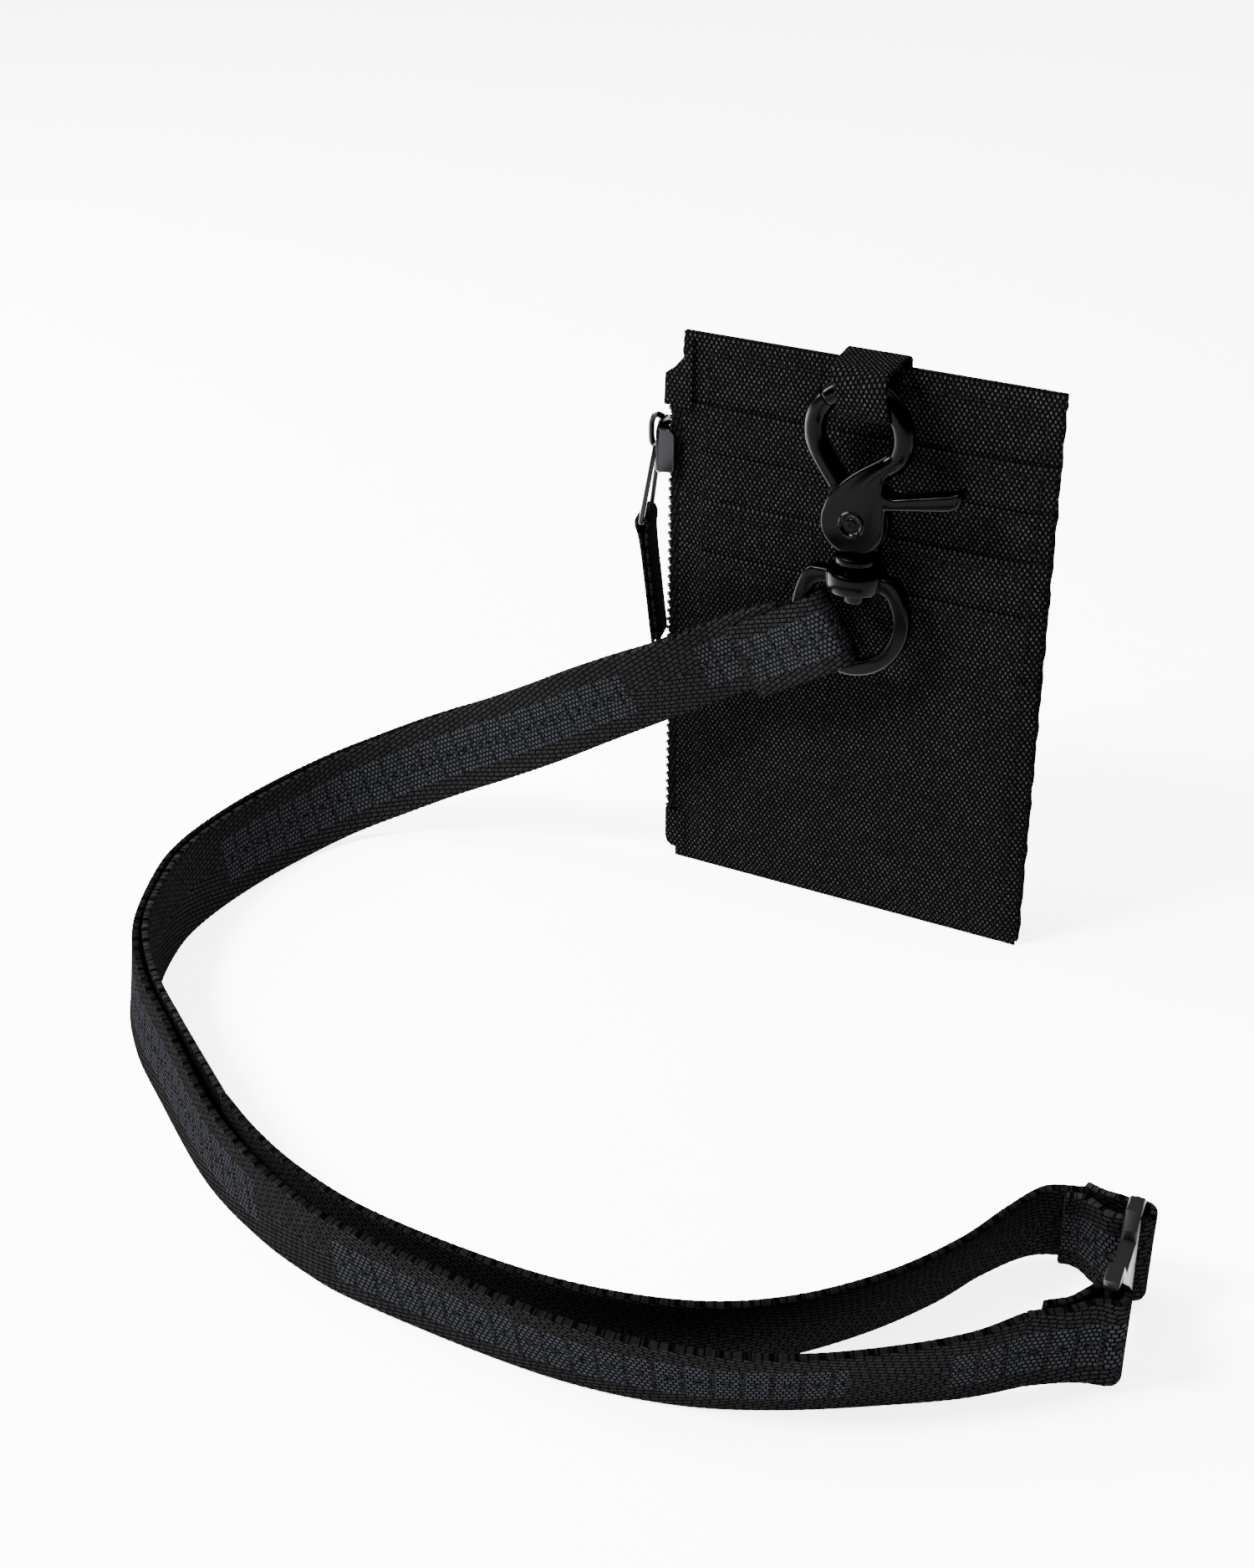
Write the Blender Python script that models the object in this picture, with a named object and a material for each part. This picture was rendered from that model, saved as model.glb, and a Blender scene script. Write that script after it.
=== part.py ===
"""Neck pouch wallet: flat nylon pouch, side zip, trigger snap hook and a neck strap with a clasp.

Lengths below are in millimetres and are turned into metres as each mesh is made.
+Z up, the card slots face -Y, x = 0 is the middle of the pouch and z = 0 the surface it stands on.
"""
import math

import bmesh
import bpy
from mathutils import Matrix, Vector

MM = 0.001

# pouch: an ID-1 card is 85.6 wide, and lies sideways in the slots between the side stitches
POUCH_W = 94.0
POUCH_H = 147.0
HALF_W = POUCH_W / 2
BACK_Y = (1.5, 2.3)
LINING_Y = (-0.3, 0.3)
HEADER_Y = (-1.0, -0.6)
HEADER_Z = (100.0, 147.0)
SLOT_Y = ((-1.7, -1.3), (-2.4, -2.0), (-3.1, -2.7), (-3.8, -3.4))
SLOT_Z = ((70.0, 129.5), (58.0, 117.4), (46.0, 105.2), (0.0, 91.5))

# side zip, chain facing -X
ZIP_Y = -0.7
CHAIN_X = (-54.0, -52.4)
CHAIN_TOOTH = 0.6
CHAIN_Z = (14.2, 127.6)
CHAIN_PITCH = 2.4
CHAIN_HALF = 1.5
TAPE_X = (-53.0, -47.3)
TAPE_FRONT_Y = (-2.9, -2.5)
TAPE_BACK_Y = (1.1, 1.5)
TAB_Z = (2.5, 13.8)
PLATE_X = (-56.2, -55.2)
SLIDER_Z = (110.0, 124.0)
FLANGE_FRONT_Y = (-4.3, -3.2)
FLANGE_BACK_Y = (1.8, 2.9)
FLANGE_IN_X = -51.0
BAIL_OUT_X = -59.8
BAIL_WIRE = 1.5
BAIL_Z = (115.0, 126.0)
PULL_PIVOT = (-57.25, ZIP_Y, 117.45)
RING_WIRE = 1.3
RING_BOTTOM = (-60.3, 97.0)

# trigger snap hook, in the plane y = HOOK_Y
HOOK_Y = -12.0
RIVET = (0.5, 110.3)
RING_C = (0.5, 133.5)
RING_R = 10.8
RING_BAR = 5.5
RING_Y = (-14.6, -9.4)
FRONT_PLATE_Y = (-14.8, -12.0)
BACK_PLATE_Y = (-11.7, -8.7)
PLATE_R = 8.2
RIVET_HOLE_R = 1.4
SWIVEL_X = 2.0
POST_R = 3.0
BORE_R = 3.4
COLLAR_R = 7.6
COLLAR_Z = (92.5, 97.4)
HEAD_Z = (89.8, 92.2)
FLANGE_Z = (98.2, 101.6)
EYE_C = (2.2, 89.2)
EYE_R = 14.4
EYE_WIRE = 3.8

# webbing strap: 7/8 in (22 mm) polyester, 1.8 thick
STRAP_W = 22.0
STRAP_T = 1.8
FOLD_W = 16.5

# flat clasp, standing on edge: bar axes are vertical
CLASP_U = Vector((0.124, -0.992, 0.0)).normalized()
CLASP_N = Vector((0.992, 0.124, 0.0)).normalized()
REAR_BAR = Vector((114.0, -119.0, 13.0))
BAR_GAP = 26.7
CLASP_T = 3.4
BAR_DIA = 2.4
SLOT_W = 3.2
BODY_HALF = 7.5
LOOP_HALF = 12.9
SLOT_HALF = 11.4


def clearScene():
    for ob in list(bpy.data.objects):
        bpy.data.objects.remove(ob, do_unlink=True)


def makeMaterial(name, colour, metallic, rough):
    mat = bpy.data.materials.new(name)
    mat.use_nodes = True
    shader = mat.node_tree.nodes["Principled BSDF"]
    shader.inputs["Base Color"].default_value = (*colour, 1.0)
    shader.inputs["Metallic"].default_value = metallic
    shader.inputs["Roughness"].default_value = rough
    return mat


LOOKS = {
    "nylon": ((0.020, 0.020, 0.023), 0.0, 0.85),
    "web": ((0.040, 0.041, 0.046), 0.0, 0.90),
    "hook": ((0.030, 0.030, 0.032), 1.0, 0.35),
    "steel": ((0.25, 0.25, 0.26), 1.0, 0.30),
    "teeth": ((0.018, 0.018, 0.020), 0.0, 0.40),
    "plastic": ((0.022, 0.022, 0.024), 0.0, 0.45),
}


def addObject(name, bm, look, pivot=None):
    """One named object from a bmesh in millimetres, its origin on pivot when it turns."""
    bmesh.ops.recalc_face_normals(bm, faces=bm.faces)
    shift = Vector(pivot) if pivot is not None else Vector((0.0, 0.0, 0.0))
    for v in bm.verts:
        v.co = (v.co - shift) * MM
    mesh = bpy.data.meshes.new(name)
    bm.to_mesh(mesh)
    bm.free()
    ob = bpy.data.objects.new(name, mesh)
    ob.location = shift * MM
    bpy.context.scene.collection.objects.link(ob)
    colour, metallic, rough = LOOKS[look]
    mesh.materials.append(makeMaterial(name + "_mat", colour, metallic, rough))
    return ob


def boxMesh(x, y, z):
    bm = bmesh.new()
    bmesh.ops.create_cube(bm, size=1.0)
    for v in bm.verts:
        v.co.x = x[0] + (v.co.x + 0.5) * (x[1] - x[0])
        v.co.y = y[0] + (v.co.y + 0.5) * (y[1] - y[0])
        v.co.z = z[0] + (v.co.z + 0.5) * (z[1] - z[0])
    return bm


def prismMesh(points, y):
    """A closed outline in the XZ plane, pushed through from y[0] to y[1]."""
    bm = bmesh.new()
    near = [bm.verts.new((px, y[0], pz)) for px, pz in points]
    far = [bm.verts.new((px, y[1], pz)) for px, pz in points]
    bm.faces.new(near)
    bm.faces.new(list(reversed(far)))
    n = len(points)
    for i in range(n):
        j = (i + 1) % n
        bm.faces.new((near[i], far[i], far[j], near[j]))
    bm.normal_update()
    bmesh.ops.triangulate(bm, faces=[f for f in bm.faces if len(f.verts) > 4])
    return bm


def turnedMesh(profile, cx, cy, steps=32):
    """A solid turned about a vertical axis: profile is a list of (radius, z) starting and ending at radius 0."""
    bm = bmesh.new()
    rings = []
    for radius, z in profile:
        if radius == 0.0:
            rings.append([bm.verts.new((cx, cy, z))])
        else:
            ring = []
            for i in range(steps):
                a = 2 * math.pi * i / steps
                ring.append(bm.verts.new((cx + radius * math.cos(a), cy + radius * math.sin(a), z)))
            rings.append(ring)
    for low, high in zip(rings, rings[1:]):
        for i in range(steps):
            j = (i + 1) % steps
            if len(low) == 1 and len(high) > 1:
                bm.faces.new((low[0], high[i], high[j]))
            elif len(high) == 1 and len(low) > 1:
                bm.faces.new((low[i], low[j], high[0]))
            elif len(low) > 1:
                bm.faces.new((low[i], low[j], high[j], high[i]))
    return bm


def hubMesh(cx, cz, radii, ys, steps=32):
    """A solid turned about a Y axis through (cx, cz): matching lists of radius and y, closed at both ends."""
    bm = turnedMesh([(r, y) for r, y in zip(radii, ys)], 0.0, 0.0, steps)
    turn = Matrix.Rotation(math.radians(-90.0), 4, "X")
    bmesh.ops.transform(bm, matrix=turn, verts=bm.verts)
    for v in bm.verts:
        v.co = Vector((v.co.x + cx, v.co.y, v.co.z + cz))
    return bm


def smoothPath(points, step):
    """Catmull-Rom through the points, then even steps along it. Points may carry extra numbers after x, y, z."""
    pts = [list(map(float, p)) for p in points]
    dims = len(pts[0])
    first = [2 * pts[0][k] - pts[1][k] for k in range(dims)]
    last = [2 * pts[-1][k] - pts[-2][k] for k in range(dims)]
    ext = [first] + pts + [last]
    dense = []
    for i in range(1, len(ext) - 2):
        p0, p1, p2, p3 = ext[i - 1], ext[i], ext[i + 1], ext[i + 2]
        for s in range(24):
            t = s / 24.0
            row = []
            for k in range(dims):
                a = 2 * p1[k]
                b = p2[k] - p0[k]
                c = 2 * p0[k] - 5 * p1[k] + 4 * p2[k] - p3[k]
                d = -p0[k] + 3 * p1[k] - 3 * p2[k] + p3[k]
                row.append(0.5 * (a + b * t + c * t * t + d * t * t * t))
            dense.append(row)
    dense.append(pts[-1])
    total = [0.0]
    for a, b in zip(dense, dense[1:]):
        total.append(total[-1] + math.dist(a[:3], b[:3]))
    count = max(2, int(round(total[-1] / step)) + 1)
    out = []
    j = 0
    for i in range(count):
        want = total[-1] * i / (count - 1)
        while j < len(total) - 2 and total[j + 1] < want:
            j += 1
        span = total[j + 1] - total[j]
        f = 0.0 if span == 0 else (want - total[j]) / span
        out.append([dense[j][k] + f * (dense[j + 1][k] - dense[j][k]) for k in range(dims)])
    return out, total[-1]


def tangents(path):
    out = []
    for i in range(len(path)):
        a = Vector(path[max(i - 1, 0)][:3])
        b = Vector(path[min(i + 1, len(path) - 1)][:3])
        out.append((b - a).normalized())
    return out


def ribbonMesh(path, across, width, thick):
    """A flat strip along path. across is one direction, or one a point; width one number, or one a point."""
    bm = bmesh.new()
    tans = tangents(path)
    rings = []
    for i, row in enumerate(path):
        p = Vector(row[:3])
        side = across[i] if isinstance(across, list) else across
        side = (side - side.dot(tans[i]) * tans[i]).normalized()
        norm = tans[i].cross(side).normalized()
        half = (width[i] if isinstance(width, list) else width) / 2
        corners = ((-half, -thick / 2), (half, -thick / 2), (half, thick / 2), (-half, thick / 2))
        rings.append([bm.verts.new(p + side * a + norm * b) for a, b in corners])
    for low, high in zip(rings, rings[1:]):
        for k in range(4):
            m = (k + 1) % 4
            bm.faces.new((low[k], low[m], high[m], high[k]))
    bm.faces.new(list(reversed(rings[0])))
    bm.faces.new(rings[-1])
    bmesh.ops.triangulate(bm, faces=bm.faces)
    return bm


def wireMesh(path, radius, plane, closed=False, sides=12):
    """A round wire along a path lying in the plane whose normal is given."""
    bm = bmesh.new()
    n = len(path)
    rings = []
    for i in range(n):
        p = Vector(path[i][:3])
        if closed:
            a, b = Vector(path[(i - 1) % n][:3]), Vector(path[(i + 1) % n][:3])
        else:
            a, b = Vector(path[max(i - 1, 0)][:3]), Vector(path[min(i + 1, n - 1)][:3])
        tan = (b - a).normalized()
        side = plane.cross(tan).normalized()
        ring = []
        for s in range(sides):
            ang = 2 * math.pi * (s + 0.5) / sides
            ring.append(bm.verts.new(p + radius * (math.cos(ang) * side + math.sin(ang) * plane)))
        rings.append(ring)
    pairs = list(zip(rings, rings[1:]))
    if closed:
        pairs.append((rings[-1], rings[0]))
    for low, high in pairs:
        for k in range(sides):
            m = (k + 1) % sides
            bm.faces.new((low[k], low[m], high[m], high[k]))
    if not closed:
        bm.faces.new(list(reversed(rings[0])))
        bm.faces.new(rings[-1])
    return bm


def boolean(ob, bm, mode, label):
    """Joins or cuts another solid, which stays behind as a hidden cutter."""
    cutter = addObject("cut_" + label, bm, "steel")
    cutter.location = (0.0, 0.0, 0.0)
    cutter.hide_render = True
    cutter.display_type = "WIRE"
    mod = ob.modifiers.new(label, "BOOLEAN")
    mod.operation = mode
    mod.solver = "EXACT"
    mod.object = cutter
    return cutter


def arcPoints(centre, radius, start, stop, steps):
    out = []
    for i in range(steps + 1):
        a = math.radians(start + (stop - start) * i / steps)
        out.append((centre[0] + radius * math.cos(a), centre[1] + radius * math.sin(a)))
    return out


clearScene()

# pouch: four card slots stepped down over a header, a lining and the back panel
addObject("back_panel", boxMesh((-HALF_W, HALF_W), BACK_Y, (0.0, POUCH_H)), "nylon")
addObject("pouch_lining", boxMesh((-HALF_W, HALF_W), LINING_Y, (0.0, POUCH_H)), "nylon")
addObject("header_panel", boxMesh((-HALF_W, HALF_W), HEADER_Y, HEADER_Z), "nylon")
for number, (ySpan, zSpan) in enumerate(zip(SLOT_Y, SLOT_Z), start=1):
    addObject("slot_panel_%d" % number, boxMesh((-HALF_W, HALF_W), ySpan, zSpan), "nylon")

# zip
addObject("zip_tape_front", boxMesh(TAPE_X, TAPE_FRONT_Y, CHAIN_Z), "nylon")
addObject("zip_tape_back", boxMesh(TAPE_X, TAPE_BACK_Y, CHAIN_Z), "nylon")
chain = [(CHAIN_X[1], CHAIN_Z[0]), (CHAIN_X[1], CHAIN_Z[1]), (CHAIN_X[0], CHAIN_Z[1])]
toothCount = int((CHAIN_Z[1] - CHAIN_Z[0]) / CHAIN_PITCH)
z = CHAIN_Z[1]
for _ in range(toothCount):
    z -= CHAIN_PITCH
    chain.append((CHAIN_X[0], z + 0.70 * CHAIN_PITCH))
    chain.append((CHAIN_X[0] - CHAIN_TOOTH, z + 0.60 * CHAIN_PITCH))
    chain.append((CHAIN_X[0] - CHAIN_TOOTH, z + 0.30 * CHAIN_PITCH))
    chain.append((CHAIN_X[0], z + 0.20 * CHAIN_PITCH))
chain.append((CHAIN_X[0], CHAIN_Z[0]))
addObject("zip_chain", prismMesh(chain, (ZIP_Y - CHAIN_HALF, ZIP_Y + CHAIN_HALF)), "teeth")
cover = [(-47.3, 145.5), (-47.5, 144.2), (-52.0, 138.1), (-54.9, 136.0), (-54.9, 128.0), (-47.3, 128.0)]
addObject("zip_top_cover", prismMesh(cover, (-3.3, 1.9)), "nylon")
tab = [(-47.3, TAB_Z[0]), (-51.6, TAB_Z[0]), (-53.0, 3.6), (-53.5, 5.4), (-53.5, TAB_Z[1]), (-47.3, TAB_Z[1])]
addObject("zip_bottom_tab", prismMesh(tab, (-2.9, 1.5)), "nylon")

# slider: outer plate, one flange each side of the tapes, and a bail for the pull ring
slider = addObject("zip_slider", boxMesh(PLATE_X, (FLANGE_FRONT_Y[0], FLANGE_BACK_Y[1]), SLIDER_Z), "steel")
over = 0.2
for label, ySpan in (("flange_a", FLANGE_FRONT_Y), ("flange_b", FLANGE_BACK_Y)):
    boolean(slider, boxMesh((PLATE_X[1] - over, FLANGE_IN_X), ySpan, SLIDER_Z), "UNION", label)
bailIn = BAIL_OUT_X + BAIL_WIRE
bailOutline = [(PLATE_X[0] + 0.3, BAIL_Z[0]), (BAIL_OUT_X + 1.2, BAIL_Z[0]), (BAIL_OUT_X, BAIL_Z[0] + 1.8),
               (BAIL_OUT_X, BAIL_Z[1] - 5.0), (BAIL_OUT_X + 1.2, BAIL_Z[1] - 2.0),
                (PLATE_X[0] + 0.3, BAIL_Z[1] - 2.2)]
boolean(slider, prismMesh(bailOutline, (ZIP_Y - 1.0, ZIP_Y + 1.0)), "UNION", "bail")
bailHole = [(PLATE_X[0] - 0.05, BAIL_Z[0] + 1.5), (bailIn + 0.4, BAIL_Z[0] + 1.5), (bailIn, BAIL_Z[0] + 2.1),
            (bailIn, BAIL_Z[1] - 5.2), (bailIn + 0.5, BAIL_Z[1] - 3.8), (PLATE_X[0] - 0.05, BAIL_Z[1] - 3.8)]
boolean(slider, prismMesh(bailHole, (ZIP_Y - 2.5, ZIP_Y + 2.5)), "DIFFERENCE", "bail_hole")

# pull ring: closed wire, narrow where it rides in the bail and wide at the tape
px, pz = PULL_PIVOT[0], PULL_PIVOT[2]
bx, bz = RING_BOTTOM
topHalf, lowHalf = 2.6, 6.6
ringPath = [(px, ZIP_Y - topHalf + 0.5, pz), (px, ZIP_Y + topHalf - 0.5, pz),
            (px - 0.1, ZIP_Y + topHalf, pz - 0.7),
            (bx + 0.1, ZIP_Y + lowHalf, bz + 0.9), (bx, ZIP_Y + lowHalf - 0.8, bz),
            (bx, ZIP_Y - lowHalf + 0.8, bz), (bx + 0.1, ZIP_Y - lowHalf, bz + 0.9),
            (px - 0.1, ZIP_Y - topHalf, pz - 0.7)]
ringPlane = (Vector((px - bx, 0.0, pz - bz)).cross(Vector((0.0, 1.0, 0.0)))).normalized()
addObject("pull_ring", wireMesh(ringPath, RING_WIRE / 2, ringPlane, closed=True, sides=10), "steel", PULL_PIVOT)

# pull tape: a strip folded over the ring's lower bar
down = Vector((-56.6 - bx, 0.0, 64.0 - bz)).normalized()
out = Vector((down.z, 0.0, -down.x))
tapeHalfGap = RING_WIRE / 2 + 0.35 + 0.45
tapePath = []
for along, side in ((33.4, 0.65), (20.0, 0.65), (9.0, 0.7), (4.0, 0.9), (1.5, 1.35), (0.0, 1.45), (-1.05, 1.05),
                    (-1.5, 0.0), (-1.05, -1.05), (0.0, -1.45), (1.5, -1.35), (4.0, -0.9), (9.0, -0.7),
                    (20.0, -0.65), (33.4, -0.65)):
    tapePath.append(tuple(Vector((bx, ZIP_Y, bz)) + down * along + out * side))
addObject("pull_tape", ribbonMesh(tapePath, Vector((0.0, 1.0, 0.0)), 11.0, 0.9), "web", (bx, ZIP_Y, bz))

# fabric loop over the top edge, round the hook's bar
loopPath = [(0.8, 3.2, 128.0), (0.8, 3.2, 140.0), (0.8, 3.25, 145.6), (0.8, 3.1, 147.3), (0.8, 2.2, 148.4),
            (0.8, 0.5, 149.0), (0.8, -4.0, 149.1), (0.8, -9.5, 149.0), (0.8, -13.4, 148.8), (0.8, -15.4, 147.6),
            (0.8, -16.0, 144.0), (0.8, -15.7, 138.6), (0.8, -14.7, 136.3), (0.8, -12.0, 135.4),
            (0.8, -9.3, 136.3), (0.8, -8.4, 138.6), (0.8, -7.4, 142.0), (0.8, -4.8, 144.4), (0.8, -2.6, 145.4)]
loopSmooth, _ = smoothPath(loopPath, 1.3)
addObject("fabric_loop", ribbonMesh(loopSmooth, Vector((1.0, 0.0, 0.0)), 13.2, 1.2), "nylon")

# hook frame: fixed jaw, back plate, neck flange and swivel post
rx, rz = RIVET
outerR, innerR = RING_R + RING_BAR / 2, RING_R - RING_BAR / 2
jaw = arcPoints(RING_C, outerR, 134.5, 215.0, 20)
jaw += [(-9.4, 122.8), (-7.6, 120.6), (-6.1, 119.3), (-1.5, 124.5), (-1.7, 125.2), (-3.9, 126.6)]
jaw += arcPoints(RING_C, innerR, 212.0, 134.5, 20)
frame = addObject("hook_frame", prismMesh(jaw, RING_Y), "hook")
boolean(frame, hubMesh(rx, rz, [0.0, 8.3, 8.3, 0.0], [BACK_PLATE_Y[0], BACK_PLATE_Y[0], BACK_PLATE_Y[1],
        BACK_PLATE_Y[1]], 40), "UNION", "back_disc")
link = [(-7.2, 112.0), (-8.2, 119.0), (-9.2, 123.0), (-7.2, 126.3), (-3.9, 126.6), (-1.2, 124.4), (3.0, 117.6),
        (7.0, 112.0)]
boolean(frame, prismMesh(link, (BACK_PLATE_Y[0], BACK_PLATE_Y[1] - 0.1)), "UNION", "back_link")
boolean(frame, boxMesh((-3.4, 7.4), (BACK_PLATE_Y[0] + 0.05, BACK_PLATE_Y[1] - 0.05), (FLANGE_Z[0] + 1.0, 106.0)),
        "UNION", "neck_web")
post = [(0.0, HEAD_Z[0]), (3.3, HEAD_Z[0]), (3.7, HEAD_Z[0] + 0.5), (3.7, HEAD_Z[1]), (POST_R, HEAD_Z[1]),
        (POST_R, FLANGE_Z[0]), (5.8, FLANGE_Z[0]), (6.2, FLANGE_Z[0] + 0.5), (6.2, FLANGE_Z[1] - 0.6),
        (5.6, FLANGE_Z[1]), (0.0, FLANGE_Z[1])]
boolean(frame, turnedMesh(post, SWIVEL_X, HOOK_Y, 32), "UNION", "post")
boolean(frame, hubMesh(rx, rz, [0.0, RIVET_HOLE_R, RIVET_HOLE_R, 0.0], [-20.0, -20.0, -2.0, -2.0], 24),
        "DIFFERENCE", "frame_hole")
boolean(frame, hubMesh(rx, rz, [0.0, 4.3, 4.3, 0.0], [-14.0, -14.0, -9.9, -9.9], 32), "DIFFERENCE", "spring_well")

# rivet: a head each side and a shank between
rivet = [(0.0, -15.7), (3.0, -15.7), (3.4, -15.4), (3.4, -15.1), (1.1, -15.1), (1.1, -8.4), (3.0, -8.4),
         (3.0, -8.0),
         (2.6, -7.8), (0.0, -7.8)]
addObject("hook_rivet", hubMesh(rx, rz, [r for r, _ in rivet], [y for _, y in rivet], 28), "hook")

# spring: one open turn in a well round the rivet
springOut = arcPoints(RIVET, 3.8, 20.0, 340.0, 26)
springIn = arcPoints(RIVET, 2.3, 340.0, 20.0, 26)
addObject("trigger_spring", prismMesh(springOut + springIn, (-11.5, -10.3)), "steel")

# trigger: front plate, curved arm that closes the ring, thumb lever
arm = arcPoints(RING_C, outerR, 126.5, -40.0, 34)
arm += [(9.9, 122.6), (9.3, 119.9), (7.0, 121.3), (5.0, 124.6), (4.6, 126.2)]
arm += arcPoints(RING_C, innerR, -36.0, 126.5, 34)
trigger = addObject("trigger", prismMesh(arm, RING_Y), "hook", (rx, HOOK_Y, rz))
boolean(trigger, hubMesh(rx, rz, [0.0, PLATE_R, PLATE_R, 0.0], [FRONT_PLATE_Y[0], FRONT_PLATE_Y[0],
        FRONT_PLATE_Y[1], FRONT_PLATE_Y[1]], 40), "UNION", "front_disc")
face = [(8.6, 111.0), (9.4, 119.0), (10.6, 124.5), (7.0, 127.9), (4.0, 126.0), (1.6, 125.3), (-0.5, 124.6),
        (-5.5, 119.0), (-7.0, 114.5), (-6.0, 112.0)]
boolean(trigger, prismMesh(face, (FRONT_PLATE_Y[0] + 0.1, FRONT_PLATE_Y[1] - 0.1)), "UNION", "front_face")
lever = [(8.2, 120.4), (8.4, 118.2), (12.0, 117.6), (17.0, 118.1), (22.0, 119.0), (26.0, 120.2), (28.0, 121.6),
         (28.4, 122.6), (27.8, 123.2), (26.6, 122.4), (22.5, 121.0), (17.0, 120.1), (12.6, 120.0), (10.2, 122.0)]
boolean(trigger, prismMesh(lever, (-14.7, -9.3)), "UNION", "lever")
boolean(trigger, hubMesh(rx, rz, [0.0, RIVET_HOLE_R, RIVET_HOLE_R, 0.0], [-20.0, -20.0, -2.0, -2.0], 24),
        "DIFFERENCE", "trigger_hole")

# swivel eye: collar on the post and a D of heavy wire below it
eyeArc = [(p[0], HOOK_Y, p[1]) for p in arcPoints(EYE_C, EYE_R, 180.0, 360.0, 22)]
eyePath = [(-4.2, HOOK_Y, 95.1), (-7.4, HOOK_Y, 95.1), (-9.8, HOOK_Y, 94.6), (-11.4, HOOK_Y, 92.7)] + eyeArc
eyePath += [(15.8, HOOK_Y, 92.7), (14.2, HOOK_Y, 94.6), (11.8, HOOK_Y, 95.1), (8.2, HOOK_Y, 95.1)]
collar = [(0.0, COLLAR_Z[0]), (COLLAR_R - 0.5, COLLAR_Z[0]), (COLLAR_R, COLLAR_Z[0] + 0.5),
          (COLLAR_R, COLLAR_Z[1] - 0.5), (COLLAR_R - 0.5, COLLAR_Z[1]), (0.0, COLLAR_Z[1])]
eye = addObject("swivel_eye", turnedMesh(collar, SWIVEL_X, HOOK_Y, 40), "hook", (SWIVEL_X, HOOK_Y, COLLAR_Z[0]))
boolean(eye, wireMesh(eyePath, EYE_WIRE / 2, Vector((0.0, 1.0, 0.0)), sides=12), "UNION", "eye_wire")
boolean(eye, turnedMesh([(0.0, 85.0), (BORE_R, 85.0), (BORE_R, 110.0), (0.0, 110.0)], SWIVEL_X, HOOK_Y, 32),
        "DIFFERENCE", "eye_bore")

# strap end fold: a strip doubled round the D, its two legs either side of the inner strand
foldT = Vector((-0.850, 0.0, -0.527))
foldW = Vector((0.527, 0.0, -0.850))
foldO = Vector((-1.95, HOOK_Y, 85.45))
foldLegs = ((29.0, -2.15), (22.0, -2.2), (16.0, -2.6), (12.0, -3.1), (7.0, -3.3), (3.0, -3.1), (1.4, -2.1),
            (0.9, 0.0), (1.4, 2.1), (3.0, 3.1), (7.0, 3.3), (12.0, 3.1), (15.0, 2.7), (18.0, 2.35))
foldPath = [tuple(foldO + foldT * t + Vector((0.0, y, 0.0))) for t, y in foldLegs]
foldSmooth, _ = smoothPath(foldPath, 1.1)
addObject("strap_end_fold", ribbonMesh(foldSmooth, foldW, FOLD_W, STRAP_T), "web", (SWIVEL_X, HOOK_Y, COLLAR_Z[0]))

# strap routes: x, y and lower-edge height of the strip, its outward lean in degrees, and its width
ROUTE_INNER = (
    (-9.0, -12.0, 71.3, 0, 16.8), (-14.6, -12.0, 67.7, 0, 17.6), (-22.7, -12.0, 62.3, 0, 18.8),
    (-30.0, -12.5, 57.7, -2, 20.1), (-38.0, -14.6, 53.4, -5, 20.9), (-47.4, -17.0, 48.0, -5, 21.5),
    (-61.2, -19.0, 39.9, 0, 22), (-75.5, -20.5, 31.0, 6, 22),
    (-90.6, -21.8, 22.3, 12, 22), (-105.7, -23.6, 14.2, 16, 22), (-119.7, -28.0, 6.9, 18, 22),
    (-131.0, -37.0, 2.2, 18, 22), (-137.5, -51.0, 0.3, 16, 22), (-141.3, -69.0, 0.1, 13, 22),
    (-142.8, -88.0, 0.1, 9, 22), (-141.0, -104.0, 0.1, 3, 22), (-132.5, -124.0, 0.1, 1, 22),
    (-118.0, -140.5, 0.1, 0, 22), (-100.5, -154.0, 0.1, 0, 22), (-74.0, -172.5, 0.1, 1, 22))
ROUTE_INNER_FRONT = (
    (-74.0, -172.5, 0.1, 1, 22), (-60.0, -179.8, 0.1, 2, 22), (-44.0, -185.5, 0.1, 4, 22),
    (-24.0, -189.0, 0.1, 7, 22), (4.0, -188.8, 0.1, 11, 22), (25.0, -185.8, 0.1, 14, 22),
    (44.0, -179.0, 0.1, 17, 22), (58.0, -169.0, 0.1, 19, 22), (70.0, -154.8, 0.1, 20, 22),
    (79.0, -140.0, 0.2, 19, 22), (85.0, -126.5, 0.4, 14, 22), (92.5, -116.5, 1.2, 6, 22),
    (103.0, -112.6, 1.8, 0, 22))
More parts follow.
